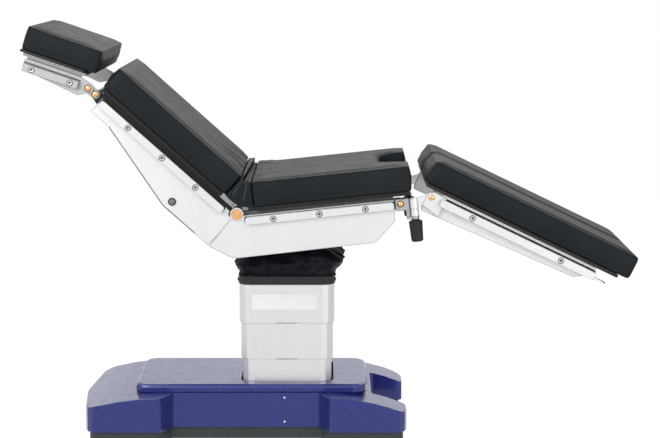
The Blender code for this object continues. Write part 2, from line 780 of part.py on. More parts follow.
def make_castors():
    """Four swivel castors: a fork with its stem and axle, and a wheel."""
    axle_z = WHEEL_RADIUS + WHEEL_LIFT
    cheek_inner = WHEEL_WIDTH / 2 + RUNNING_GAP
    cheek_outer = cheek_inner + FORK_THICKNESS
    crown = WHEEL_RADIUS + axle_z + 2 * RUNNING_GAP
    fork_top = crown + FORK_TOP_THICKNESS
    half = FORK_WIDTH / 2
    for end, x, out in (("head", CASTOR_HEAD_X, CASTOR_HEAD_Y), ("foot", CASTOR_FOOT_X, CASTOR_FOOT_Y)):
        for hand, side in (("near", -1), ("far", 1)):
            hub = anchor(f"castor_{end}_{hand}", (x, side * out, 0))
            axle_x = -CASTOR_TRAIL
            plate_half = cheek_outer + FINE_BEVEL
            body = block((axle_x - half, -plate_half, crown), (half, plate_half, fork_top))
            for cheek in (-1, 1):
                low, high = sorted((cheek * cheek_inner, cheek * cheek_outer))
                leg = block(
                    (axle_x - half + FINE_BEVEL, low, axle_z - half / 2), (axle_x + half, high, crown + GAP))
                body = union(body, leg)
            middle = (crown + fork_top) / 2
            body = union(
                body,
                rod(AXLE_RADIUS, (axle_x, -plate_half, axle_z), (axle_x, plate_half, axle_z), SMALL_SIDES),
                rod(SWIVEL_RADIUS, (0, 0, middle), (0, 0, CHASSIS_BOTTOM - GAP), SMALL_SIDES),
                rod(STEM_RADIUS, (0, 0, fork_top), (0, 0, CHASSIS_BOTTOM + SWIVEL_HEIGHT), SMALL_SIDES))
            add(f"castor_fork_{end}_{hand}", body, "brushed_steel", hub)
            rim = WHEEL_WIDTH / 2
            shoulder = WHEEL_RADIUS - rim / 3
            bore = AXLE_RADIUS + BORE_CLEARANCE
            wheel = turned([
                (bore, rim), (shoulder, rim), (WHEEL_RADIUS, rim / 2), (WHEEL_RADIUS, -rim / 2),
                (shoulder, -rim), (bore, -rim)])
            moved(wheel, Matrix.Rotation(math.radians(90), 4, "X"))
            axle = anchor(f"axle_{end}_{hand}", (axle_x, 0, axle_z), parent=hub)
            add(f"castor_wheel_{end}_{hand}", wheel, "tyre_grey", axle)


def make_floor_locks():
    """Four hydraulic feet that lift the castors off the floor."""
    for end, x in (("head", LOCK_HEAD_X), ("foot", LOCK_FOOT_X)):
        for hand, side in (("near", -1), ("far", 1)):
            place = anchor(f"lock_{end}_{hand}", (x, side * LOCK_Y, 0))
            edge = LOCK_PAD_HEIGHT / 4
            foot = turned([
                (0, LOCK_STEM_TOP), (LOCK_STEM_RADIUS, LOCK_STEM_TOP), (LOCK_STEM_RADIUS, LOCK_PAD_HEIGHT),
                (LOCK_PAD_RADIUS - edge, LOCK_PAD_HEIGHT), (LOCK_PAD_RADIUS, LOCK_PAD_HEIGHT - edge),
                (LOCK_PAD_RADIUS, 0), (0, 0)], SMALL_SIDES)
            add(f"floor_lock_{end}_{hand}", foot, "dark_steel", place)


def tube_shell(half, roundness, low, high):
    """One square column shell with round corners, open at both ends."""
    centre = (COLUMN_X, 0)
    outer = extruded(rounded_box_outline(half, half, roundness, centre), low, high)
    hollow = extruded(
        rounded_box_outline(half - SHELL_WALL, half - SHELL_WALL, roundness - SHELL_WALL, centre),
        low - CUT_OVERRUN, high + CUT_OVERRUN)
    return cut(outer, hollow)


def round_tube(outer, inner, low, high):
    """A round tube on the column's axis, open at both ends."""
    return shifted(turned([(inner, high), (outer, high), (outer, low), (inner, low)]), x=COLUMN_X)


def round_bar(radius, low, high):
    """A round bar on the column's axis, its facets in line with the tubes around it."""
    return shifted(turned([(0, high), (radius, high), (radius, low), (0, low)]), x=COLUMN_X)


def make_column():
    """Three telescoping shells around a telescopic lift cylinder, and the head that it carries."""
    well_floor = WELL_BOTTOM + WELL_WALL
    cylinder_bore = CYLINDER_RADIUS - CYLINDER_WALL
    stage_radius = cylinder_bore - BORE_CLEARANCE
    stage_bore = stage_radius - STAGE_WALL
    ram_radius = stage_bore - BORE_CLEARANCE
    cylinder = cut(
        round_bar(CYLINDER_RADIUS, well_floor + GAP, CYLINDER_TOP),
        round_bar(cylinder_bore, well_floor + CYLINDER_WALL, CYLINDER_TOP + CUT_OVERRUN))
    add("lift_cylinder", cylinder, "dark_steel")
    add("lift_stage", round_tube(stage_radius, stage_bore, STAGE_BOTTOM, STAGE_TOP), "brushed_steel")
    plate_bottom = UPPER_SHELL_TOP + GAP
    add("lift_ram", round_bar(ram_radius, RAM_BOTTOM, plate_bottom - GAP), "brushed_steel")

    lower = tube_shell(LOWER_HALF_X, COLUMN_ROUNDNESS, LOWER_SHELL_BOTTOM, LOWER_SHELL_TOP)
    web_half = LOWER_HALF_X - SHELL_WALL / 2
    web = extruded(
        rounded_box_outline(web_half, web_half, COLUMN_ROUNDNESS - SHELL_WALL / 2, (COLUMN_X, 0)),
        LOWER_SHELL_TOP - 2 * UPPER_SHELL_ROOF, LOWER_SHELL_TOP - UPPER_SHELL_ROOF)
    sleeve = round_bar(stage_radius + GAP, LOWER_SHELL_TOP - 3 * UPPER_SHELL_ROOF, LOWER_SHELL_TOP)
    add("column_lower_shell", cut(union(lower, web), sleeve), "satin_metal")
    middle = tube_shell(MIDDLE_HALF_X, COLUMN_ROUNDNESS, MIDDLE_SHELL_BOTTOM, MIDDLE_SHELL_TOP)
    add("column_middle_shell", middle, "satin_metal")
    upper = tube_shell(UPPER_HALF_X, COLUMN_ROUNDNESS, UPPER_SHELL_BOTTOM, UPPER_SHELL_TOP)
    roof_half = UPPER_HALF_X - SHELL_WALL / 2
    roof = extruded(
        rounded_box_outline(roof_half, roof_half, COLUMN_ROUNDNESS - SHELL_WALL / 2, (COLUMN_X, 0)),
        UPPER_SHELL_TOP - UPPER_SHELL_ROOF, UPPER_SHELL_TOP - GAP)
    bore = round_bar(
        ram_radius + GAP, UPPER_SHELL_TOP - UPPER_SHELL_ROOF - CUT_OVERRUN, UPPER_SHELL_TOP + CUT_OVERRUN)
    add("column_upper_shell", cut(union(upper, roof), bore), "satin_metal")

    band_half = UPPER_HALF_X + BAND_OVERHANG
    band_round = COLUMN_ROUNDNESS + BAND_OVERHANG
    band_inner = band_half - BAND_WALL - BAND_OVERHANG
    centre = (COLUMN_X, 0)
    band = cut(
        extruded(rounded_box_outline(band_half, band_half, band_round, centre), plate_bottom, BAND_TOP),
        extruded(
            rounded_box_outline(band_inner, band_inner, band_round - BAND_WALL - BAND_OVERHANG, centre),
            plate_bottom - CUT_OVERRUN, BAND_TOP + CUT_OVERRUN))
    add("boot_clamp_band", band, "black_plastic")

    plate = block(
        (COLUMN_X - HEAD_PLATE_HALF, -HEAD_PLATE_HALF, plate_bottom),
        (COLUMN_X + HEAD_PLATE_HALF, HEAD_PLATE_HALF, plate_bottom + HEAD_PLATE_THICKNESS), FINE_BEVEL)
    ear_base = plate_bottom + HEAD_PLATE_THICKNESS / 2
    ear = (arc((COLUMN_X, TILT_AXIS_Z), HEAD_EAR_RADIUS, 0, 180, 2 * CORNER_STEPS)
           + [(COLUMN_X - HEAD_EAR_RADIUS, ear_base), (COLUMN_X + HEAD_EAR_RADIUS, ear_base)])
    for side in (-1, 1):
        plate = union(plate, side_plate(ear, HEAD_EAR_Y, HEAD_EAR_Y + HEAD_EAR_THICKNESS, side, 0))
    reach = HEAD_EAR_Y + HEAD_EAR_THICKNESS + CUT_OVERRUN
    bearing = rod(
        TRUNNION_RADIUS + BORE_CLEARANCE, (COLUMN_X, -reach, TILT_AXIS_Z), (COLUMN_X, reach, TILT_AXIS_Z))
    add("column_head", cut(plate, bearing), "cast_metal")


def boot_ring(height_share, half, z, inset):
    """One ring of the boot: the column's outline, flared and pleated more towards the top."""
    points = []
    for x, y in rounded_box_outline(half, half, COLUMN_ROUNDNESS, (0, 0), CORNER_STEPS + 1):
        points.append(Vector((x, y)))
    dense = []
    for i, point in enumerate(points):
        after = points[(i + 1) % len(points)]
        pieces = BOOT_PLEATS if (after - point).length > COLUMN_ROUNDNESS else 1
        dense += [point.lerp(after, k / pieces) for k in range(pieces)]
    ring = []
    for i, point in enumerate(dense):
        out = point.normalized()
        flare_x = BOOT_FLARE_FOOT if point.x > 0 else BOOT_FLARE_HEAD
        wide = Vector((flare_x * point.x, BOOT_FLARE_SIDE * point.y)) / half
        fold = BOOT_FOLD_DEPTH * height_share * (1 + math.cos(math.pi * i)) / 2
        reach = point + wide * math.sin(height_share * math.pi / 2) - out * (fold + inset)
        ring.append((COLUMN_X + reach.x, reach.y, z))
    return ring


def make_boot():
    """The pleated cloth boot between the column and the top, open above and below."""
    half = UPPER_HALF_X - BAND_WALL - GAP
    foot = UPPER_SHELL_TOP + 2 * GAP
    heights = [(0.0, foot), (0.0, BAND_TOP)]
    steps = 4
    for i in range(1, steps + 1):
        share = i / steps
        heights.append((share, BAND_TOP + (BOOT_TOP - BAND_TOP) * share))
    outer = [boot_ring(share, half, z, 0) for share, z in heights]
    inner = [boot_ring(share, half, z, BOOT_WALL) for share, z in heights]
    work = bmesh.new()
    rows = [[work.verts.new(point) for point in ring] for ring in outer + inner[::-1]]
    count = len(rows[0])
    for row, after in zip(rows, rows[1:] + rows[:1]):
        for i in range(count):
            j = (i + 1) % count
            work.faces.new((row[i], row[j], after[j], after[i]))
    bmesh.ops.recalc_face_normals(work, faces=work.faces)
    mesh = bpy.data.meshes.new("boot")
    work.to_mesh(mesh)
    work.free()
    add("column_boot", mesh, "black_fabric")


def make_tilt_gear():
    """The cross that both tilts turn on, and the carriage that the top slides on."""
    centre = Vector((COLUMN_X, 0, TILT_AXIS_Z))
    reach_y = HEAD_EAR_Y + HEAD_EAR_THICKNESS
    reach_x = CARRIAGE_EAR_X + CARRIAGE_EAR_THICKNESS
    cross = anchor("tilt_centre", centre, (0, math.radians(-SEAT_TILT), 0))
    body = union(
        block((-CROSS_HALF,) * 3, (CROSS_HALF,) * 3, FINE_BEVEL),
        rod(TRUNNION_RADIUS, (0, -reach_y, 0), (0, reach_y, 0)),
        rod(TRUNNION_RADIUS, (-reach_x, 0, 0), (reach_x, 0, 0)))
    add("tilt_cross", body, "cast_metal", cross)

    top = CARRIAGE_PLATE_Z + CARRIAGE_PLATE_THICKNESS
    carriage = block(
        (-CARRIAGE_HALF_X, -CARRIAGE_HALF_Y, CARRIAGE_PLATE_Z), (CARRIAGE_HALF_X, CARRIAGE_HALF_Y, top))
    ear = (arc((0, 0), CARRIAGE_EAR_RADIUS, 180, 360, 2 * CORNER_STEPS)
           + [(CARRIAGE_EAR_RADIUS, CARRIAGE_PLATE_Z + GAP), (-CARRIAGE_EAR_RADIUS, CARRIAGE_PLATE_Z + GAP)])
    upright = Matrix.Rotation(math.radians(90), 4, "Z")
    for side in (-1, 1):
        plate = side_plate(ear, CARRIAGE_EAR_X, reach_x, side, 0)
        carriage = union(carriage, moved(plate, upright))
    bearing = rod(
        TRUNNION_RADIUS + BORE_CLEARANCE, (-reach_x - CUT_OVERRUN, 0, 0), (reach_x + CUT_OVERRUN, 0, 0))
    add("slide_carriage", cut(carriage, bearing), "dark_steel", cross)


def tilt_place():
    """The tilt centre in the seat's own frame: along the seat and up from it."""
    across = COLUMN_X - BACK_PIVOT_X
    up = TILT_AXIS_Z - BACK_PIVOT_Z
    turn = math.radians(SEAT_TILT)
    return (across * math.cos(turn) + up * math.sin(turn), up * math.cos(turn) - across * math.sin(turn))


def cushion(length, half_width, thickness, start_lean=0.0, end_lean=0.0):
    """An upholstered pad from x = 0: rolled edges, drawn-in sides, a crowned top and leaning ends."""
    half = length / 2
    edge = CUSHION_EDGE
    foot = edge * CUSHION_FOOT_SHARE
    shoulder = edge * CUSHION_SHOULDER_SHARE
    levels = [(foot, 0), (0, foot)]
    levels += [(CUSHION_DRAW, thickness * share) for share in CUSHION_DRAW_SHARES]
    levels += [(0, thickness - edge), (shoulder, thickness - shoulder), (edge, thickness)]
    narrow = min(half, half_width)
    for inset_share, height_share in zip(CROWN_RING_SHARES, CROWN_HEIGHT_SHARES):
        levels.append((edge + narrow * inset_share, thickness + CUSHION_CROWN * height_share))
    rings = []
    for inset, z in levels:
        outline = rounded_box_outline(half - inset, half_width - inset, CUSHION_CORNER, (half, 0))
        rise = z / thickness
        ring = []
        for x, y in outline:
            lean = start_lean * rise * max(0, 1 - x / half) - end_lean * rise * max(0, x / half - 1)
            ring.append((x + lean, y, z))
        rings.append(ring)
    return loft(rings)


def rail(start, end, height, bolts, inner_face):
    """An accessory rail along X at y = RAIL_OUTER, on a round spacer at each bolt."""
    low = RAIL_OUTER - RAIL_THICKNESS
    bar = block(
        (start, low, height - RAIL_HEIGHT / 2), (end, RAIL_OUTER, height + RAIL_HEIGHT / 2), FINE_BEVEL)
    for place in bolts:
        spacer = rod(RAIL_HEIGHT / 3, (place, inner_face + GAP, height), (place, low + GAP, height), SMALL_SIDES)
        bar = union(bar, spacer)
    return bar


def to_side(mesh, side):
    """A mesh made for y > 0, mirrored to the other side where side is -1."""
    if side < 0:
        mesh.transform(Matrix.Scale(-1, 4, (0, 1, 0)))
        mesh.flip_normals()
    return mesh


def make_seat(seat, hands):
    """Seat section: frame with the slide beams, side panels, rails, board, pad and pivot shaft."""
    beam_outer = SEAT_BEAM_INNER + SEAT_BEAM_THICKNESS
    ear = arc((0, 0), PIVOT_EAR_RADIUS, 90, 270, 2 * CORNER_STEPS)
    beam_line = ear + [
        (PIVOT_EAR_RADIUS, SEAT_BEAM_BOTTOM), (SEAT_FRAME_END, SEAT_BEAM_BOTTOM),
        (SEAT_FRAME_END, SEAT_BEAM_TOP), (PIVOT_EAR_RADIUS, SEAT_BEAM_TOP)]
    cross_top = SEAT_BEAM_BOTTOM + SEAT_CROSS_DEPTH
    tilt_u, tilt_w = tilt_place()
    plate_low = tilt_w + CARRIAGE_PLATE_Z
    plate_high = plate_low + CARRIAGE_PLATE_THICKNESS
    slide_inner = CARRIAGE_HALF_Y - CARRIAGE_GROOVE_DEPTH
    slide_outer = slide_inner + SLIDE_BEAM_WIDTH
    slide_low = plate_low - CARRIAGE_LIP
    frame = None
    for side in (-1, 1):
        beam = side_plate(beam_line, SEAT_BEAM_INNER, beam_outer, side, 0)
        spacer_end = SEAT_PANEL_INNER - GAP
        for start in (SEAT_SPACER_START, SEAT_FRAME_END - SEAT_SPACER_LENGTH):
            low, high = sorted((side * (beam_outer - GAP), side * spacer_end))
            lug = block(
                (start, low, SEAT_BEAM_BOTTOM + FINE_BEVEL), (start + SEAT_SPACER_LENGTH, high, -SEAT_FLANGE_DEPTH))
            beam = union(beam, lug)
        low, high = sorted((side * slide_inner, side * slide_outer))
        slide = block((SLIDE_BEAM_START, low, slide_low), (SEAT_FRAME_END - GAP, high, SLIDE_BEAM_TOP))
        low, high = sorted((side * (slide_inner - CUT_OVERRUN), side * (CARRIAGE_HALF_Y + GAP)))
        groove = block(
            (SLIDE_BEAM_START - CUT_OVERRUN, low, plate_low - GAP),
            (SEAT_FRAME_END + CUT_OVERRUN, high, plate_high + GAP))
        slide = cut(slide, groove)
        frame = union(frame, beam, slide) if frame else union(beam, slide)
    for start in (SEAT_PAD_START, SEAT_FRAME_END - SEAT_CROSS_LENGTH - GAP):
        frame = union(frame, block(
            (start, -SEAT_BEAM_INNER - GAP, SEAT_BEAM_BOTTOM + GAP),
            (start + SEAT_CROSS_LENGTH, SEAT_BEAM_INNER + GAP, cross_top)))
    bore = rod(
        PIVOT_SHAFT_RADIUS + GAP, (0, -beam_outer - CUT_OVERRUN, 0), (0, beam_outer + CUT_OVERRUN, 0))
    add("seat_frame", cut(frame, bore), "dark_steel", seat)

    brow = -math.degrees(math.asin(-SEAT_PANEL_TOP_W / PIVOT_DISC_RADIUS))
    panel_line = arc((0, 0), PIVOT_DISC_RADIUS, brow, 210, 2 * CORNER_STEPS) + rounded([
        (SEAT_PANEL_MITRE_U, SEAT_PANEL_MITRE_W, 0),
        (SEAT_PANEL_KNEE_U, SEAT_PANEL_KNEE_W, SEAT_PANEL_KNEE_ROUND),
        (SEAT_PANEL_HEEL_U, SEAT_PANEL_HEEL_W, SEAT_PANEL_HEEL_ROUND),
        (SEAT_PANEL_TOE_U, SEAT_PANEL_TOE_W, SEAT_PANEL_TOE_ROUND), (SEAT_PANEL_END_U, SEAT_PANEL_TOP_W, 0)])
    panel_outer = SEAT_PANEL_INNER + SEAT_PANEL_THICKNESS
    shaft_end = panel_outer + PIVOT_DISC_THICKNESS + GAP
    for hand, side in hands:
        panel = side_plate(panel_line, SEAT_PANEL_INNER, panel_outer, side)
        low, high = sorted((side * (SEAT_PANEL_INNER - CUT_OVERRUN), side * (panel_outer + CUT_OVERRUN)))
        hole = rod(PIVOT_SHAFT_RADIUS + GAP, (0, low, 0), (0, high, 0))
        flange_low, flange_high = sorted((side * (panel_outer - GAP), side * (panel_outer + SEAT_FLANGE_STEP)))
        flange = block(
            (SEAT_RAIL_START, flange_low, SEAT_PANEL_TOP_W - SEAT_FLANGE_DEPTH / 2),
            (SEAT_RAIL_END, flange_high, SEAT_PANEL_TOP_W), 0)
        add(f"seat_side_panel_{hand}", cut(union(panel, flange), hole), "satin_metal", seat)
        bar = rail(SEAT_RAIL_START, SEAT_RAIL_END, SEAT_RAIL_W, SEAT_RAIL_BOLTS, panel_outer)
        add(f"seat_rail_{hand}", to_side(bar, side), "brushed_steel", seat)

    shaft = rod(PIVOT_SHAFT_RADIUS, (0, -shaft_end, 0), (0, shaft_end, 0))
    for side in (-1, 1):
        disc_start = side * (panel_outer + GAP)
        disc_end = side * (panel_outer + PIVOT_DISC_THICKNESS)
        brass_end = side * (panel_outer + PIVOT_DISC_THICKNESS + PIVOT_BRASS_THICKNESS)
        shaft = union(
            shaft,
            rod(PIVOT_DISC_RADIUS, (0, disc_start, 0), (0, disc_end, 0)),
            rod(PIVOT_BRASS_RADIUS, (0, disc_end - side * GAP, 0), (0, brass_end, 0)))
    add("back_pivot_shaft", shaft, "brass", seat)

    notch_round = CUTOUT_DEPTH * CUTOUT_ROUND_SHARE
    notch = rounded([
        (SEAT_PAD_END - CUTOUT_DEPTH, -CUTOUT_HALF_WIDTH, notch_round),
        (SEAT_PAD_END + CUTOUT_DEPTH, -CUTOUT_HALF_WIDTH, 0), (SEAT_PAD_END + CUTOUT_DEPTH, CUTOUT_HALF_WIDTH, 0),
        (SEAT_PAD_END - CUTOUT_DEPTH, CUTOUT_HALF_WIDTH, notch_round)], 2 * CORNER_STEPS)
    board_low = SEAT_PAD_BOTTOM - GAP - SEAT_BOARD_THICKNESS
    board = block(
        (SEAT_PAD_START + CUSHION_EDGE, -BOARD_HALF_WIDTH, board_low),
        (SEAT_PAD_END - CUSHION_EDGE, BOARD_HALF_WIDTH, SEAT_PAD_BOTTOM - GAP))
    board = cut(board, extruded(notch, board_low - CUT_OVERRUN, SEAT_PAD_BOTTOM + CUT_OVERRUN))
    add("seat_board", board, "black_plastic", seat)
    pad = cushion(
        SEAT_PAD_END - SEAT_PAD_START, PAD_HALF_WIDTH, SEAT_PAD_TOP - SEAT_PAD_BOTTOM, CUSHION_SETBACK)
    shifted(pad, SEAT_PAD_START, 0, SEAT_PAD_BOTTOM)
    pad = cut(pad, extruded(notch, SEAT_PAD_BOTTOM - CUT_OVERRUN, SEAT_PAD_TOP + CUSHION_CROWN + CUT_OVERRUN))
    add("seat_pad", pad, "black_vinyl", seat)


def make_leg_mounts(seat, hands):
    """At each corner of the seat's foot end: bracket with its pin, knuckle on the pin, knob below."""
    for hand, side in hands:
        pin = (LEG_PIN_U, LEG_PIN_Y)
        body = block(
            (BRACKET_START, BRACKET_INNER, BRACKET_BOTTOM), (BRACKET_END, BRACKET_OUTER, BRACKET_TOP), FINE_BEVEL)
        plate_start = BRACKET_END - BRACKET_PLATE_THICKNESS
        body = union(
            body,
            block((plate_start, LEG_PIN_Y - KNUCKLE_RADIUS, FLANGE_BOTTOM),
                  (BRACKET_END, BRACKET_OUTER - GAP, BRACKET_BOTTOM + FINE_BEVEL + GAP)),
            block((SEAT_FRAME_END + GAP, SEAT_BEAM_INNER, BRACKET_BOTTOM + FINE_BEVEL),
                  (BRACKET_START + SEAT_BEAM_THICKNESS, BRACKET_INNER + FINE_BEVEL, BRACKET_TOP - FINE_BEVEL)),
            rod(KNUCKLE_RADIUS, (*pin, FLANGE_BOTTOM), (*pin, FLANGE_TOP)),
            block((plate_start, LEG_PIN_Y - KNUCKLE_RADIUS / 2, FLANGE_BOTTOM),
                  (LEG_PIN_U, LEG_PIN_Y + KNUCKLE_RADIUS / 2, FLANGE_TOP)),
            rod(LEG_PIN_RADIUS, (*pin, FLANGE_BOTTOM - KNOB_LENGTH / 2), (*pin, KNUCKLE_TOP - FINE_BEVEL), SMALL_SIDES))
        add(f"leg_bracket_{hand}", to_side(body, side), "satin_metal", seat)


def make_knuckle(pin_place, hand, side):
    """The leg's socket on the bracket's pin, with an arm out to the leg's pivot."""
    height = KNUCKLE_TOP - FLANGE_TOP - GAP
    groove = KNUCKLE_GROOVE_W - FLANGE_TOP
    half_groove = KNUCKLE_GROOVE_HEIGHT / 2
    waist = KNUCKLE_RADIUS - KNUCKLE_GROOVE_DEPTH
    bore = LEG_PIN_RADIUS + BORE_CLEARANCE
    socket = turned([
        (bore, height), (KNUCKLE_RADIUS, height), (KNUCKLE_RADIUS, groove + half_groove),
        (waist, groove + half_groove), (waist, groove - half_groove),
        (KNUCKLE_RADIUS, groove - half_groove), (KNUCKLE_RADIUS, 0), (bore, 0)])
    shifted(socket, z=FLANGE_TOP + GAP)
    reach = LEG_PIVOT_U - LEG_PIN_U
    half = KNUCKLE_ARM_HALF_HEIGHT
    near_edge = LEG_PIN_RADIUS + 2 * BORE_CLEARANCE
    arm_line = arc((reach, LEG_PIVOT_W), half, -90, 90, 2 * CORNER_STEPS) + [
        (near_edge, KNUCKLE_TOP - GAP), (near_edge, KNUCKLE_GROOVE_W + half_groove + GAP)]
    arm_inner = LEG_PLATE_OUTER + RUNNING_GAP - LEG_PIN_Y
    arm = side_plate(arm_line, arm_inner, arm_inner + KNUCKLE_ARM_THICKNESS, 1, 0)
    pin_start = LEG_PLATE_OUTER - LEG_PLATE_THICKNESS - GAP - LEG_PIN_Y
    pin = rod(
        LEG_PIVOT_PIN_RADIUS, (reach, pin_start, LEG_PIVOT_W), (reach, arm_inner + GAP, LEG_PIVOT_W))
    body = union(socket, arm, pin)
    add(f"leg_knuckle_{hand}", to_side(body, side), "satin_metal", pin_place)


def make_knob(pin_place, hand):
    """The fluted clamp knob under the bracket."""
    top = FLANGE_BOTTOM - GAP
    bottom = top - KNOB_NECK_HEIGHT - KNOB_LENGTH
    bore = LEG_PIN_RADIUS + BORE_CLEARANCE
    shoulder = top - KNOB_NECK_HEIGHT
    depth = FLANGE_BOTTOM - KNOB_LENGTH / 2 - GAP
    body = turned([
        (bore, top), (KNOB_NECK_RADIUS, top), (KNOB_NECK_RADIUS, shoulder),
        (KNOB_TOP_RADIUS - KNOB_EDGE, shoulder), (KNOB_TOP_RADIUS, shoulder - KNOB_EDGE),
        (KNOB_END_RADIUS, bottom + KNOB_EDGE), (KNOB_END_RADIUS - KNOB_EDGE, bottom), (0, bottom),
        (0, depth), (bore, depth)], KNOB_FLUTES * 2)
    flutes = []
    for i in range(KNOB_FLUTES):
        angle = 2 * math.pi * i / KNOB_FLUTES
        far = KNOB_TOP_RADIUS + KNOB_FLUTE_RADIUS / 2
        near = KNOB_END_RADIUS + KNOB_FLUTE_RADIUS / 2
        flutes.append(rod(
            KNOB_FLUTE_RADIUS, (far * math.cos(angle), far * math.sin(angle), shoulder + CUT_OVERRUN),
            (near * math.cos(angle), near * math.sin(angle), bottom - CUT_OVERRUN), 5))
    add(f"leg_knob_{hand}", cut(body, *flutes), "black_plastic", pin_place)


def make_back(back, hands):
    """Back section: frame with its board, side panels, rails and pad."""
    beam_inner = SEAT_BEAM_INNER + SEAT_BEAM_THICKNESS + 2 * GAP
    beam_outer = BACK_PANEL_INNER - GAP
    lug = arc((HEAD_LOWER_PIVOT_S, HEAD_PIVOT_N), HEAD_LINK_RADIUS, -90, 90, CORNER_STEPS)
    root = arc((0, 0), PIVOT_EAR_RADIUS, 90, 270, 2 * CORNER_STEPS)
    beam_line = root + [
        (PIVOT_EAR_RADIUS, BACK_BEAM_BOTTOM), (BACK_PANEL_TIP_START, BACK_BEAM_BOTTOM)] + lug + [
        (PIVOT_EAR_RADIUS, BACK_BEAM_TOP)]
    board_top = BACK_BOARD_BOTTOM + BACK_BOARD_THICKNESS
    frame = block(
        (BACK_PAD_START + CUSHION_EDGE, -BOARD_HALF_WIDTH, BACK_BOARD_BOTTOM),
        (BACK_PAD_END - CUSHION_EDGE, BOARD_HALF_WIDTH, board_top), FINE_BEVEL)
    for side in (-1, 1):
        low, high = sorted((side * beam_inner, side * beam_outer))
        ledge = block(
            (BACK_PAD_START + 2 * CUSHION_EDGE, low, BACK_BEAM_TOP - GAP),
            (BACK_PAD_END - 2 * CUSHION_EDGE, high, BACK_BOARD_BOTTOM + GAP))
        frame = union(frame, side_plate(beam_line, beam_inner, beam_outer, side, 0), ledge)
    for i in range(BACK_CROSS_COUNT):
        start = BACK_CROSS_FIRST + i * BACK_CROSS_SPACING
        end = min(start + BACK_CROSS_LENGTH, BACK_PAD_END - CUSHION_EDGE)
        frame = union(frame, block(
            (start, -beam_inner - GAP, BACK_BEAM_BOTTOM / 2), (end, beam_inner + GAP, BACK_BOARD_BOTTOM + GAP)))
    reach = beam_outer + CUT_OVERRUN
    for x, z, radius in ((0, 0, PIVOT_SHAFT_RADIUS), (HEAD_LOWER_PIVOT_S, HEAD_PIVOT_N, HEAD_PIN_RADIUS)):
        frame = cut(frame, rod(radius + BORE_CLEARANCE, (x, -reach, z), (x, reach, z)))
    add("back_frame", frame, "cast_metal", back)

    panel_line = rounded([
        (0, -PIVOT_EAR_RADIUS, 0), (0, BACK_PANEL_BELLY, PANEL_CORNER_ROUND),
        (BACK_PANEL_BELLY_START, BACK_PANEL_BELLY, BACK_PANEL_BELLY_ROUND),
        (BACK_PANEL_TIP_START, BACK_PANEL_TIP, BACK_PANEL_TIP_ROUND),
        (BACK_PANEL_END, BACK_PANEL_TIP, PANEL_CORNER_ROUND), (BACK_PANEL_END, BACK_PANEL_TOP, PANEL_CORNER_ROUND),
        (PIVOT_EAR_RADIUS, BACK_PANEL_TOP, PANEL_CORNER_ROUND),
        (PIVOT_EAR_RADIUS, -PIVOT_EAR_RADIUS, PANEL_CORNER_ROUND)])
    panel_outer = BACK_PANEL_INNER + BACK_PANEL_THICKNESS
    for hand, side in ((hand, -side) for hand, side in hands):
        panel = side_plate(panel_line, BACK_PANEL_INNER, panel_outer, 1)
        plug = rod(
            PLUG_RADIUS, (PLUG_S, panel_outer - GAP, PLUG_N), (PLUG_S, panel_outer + PLUG_PROUD, PLUG_N))
        add(f"back_side_panel_{hand}", to_side(union(panel, plug), side), "satin_metal", back)
        bar = rail(BACK_RAIL_START, BACK_RAIL_END, BACK_RAIL_N, BACK_RAIL_BOLTS, panel_outer)
        add(f"back_rail_{hand}", to_side(bar, side), "brushed_steel", back)
    pad = cushion(
        BACK_PAD_END - BACK_PAD_START, PAD_HALF_WIDTH, BACK_PAD_TOP - BACK_PAD_BOTTOM, CUSHION_SETBACK)
    add("back_pad", shifted(pad, BACK_PAD_START, 0, BACK_PAD_BOTTOM), "black_vinyl", back)


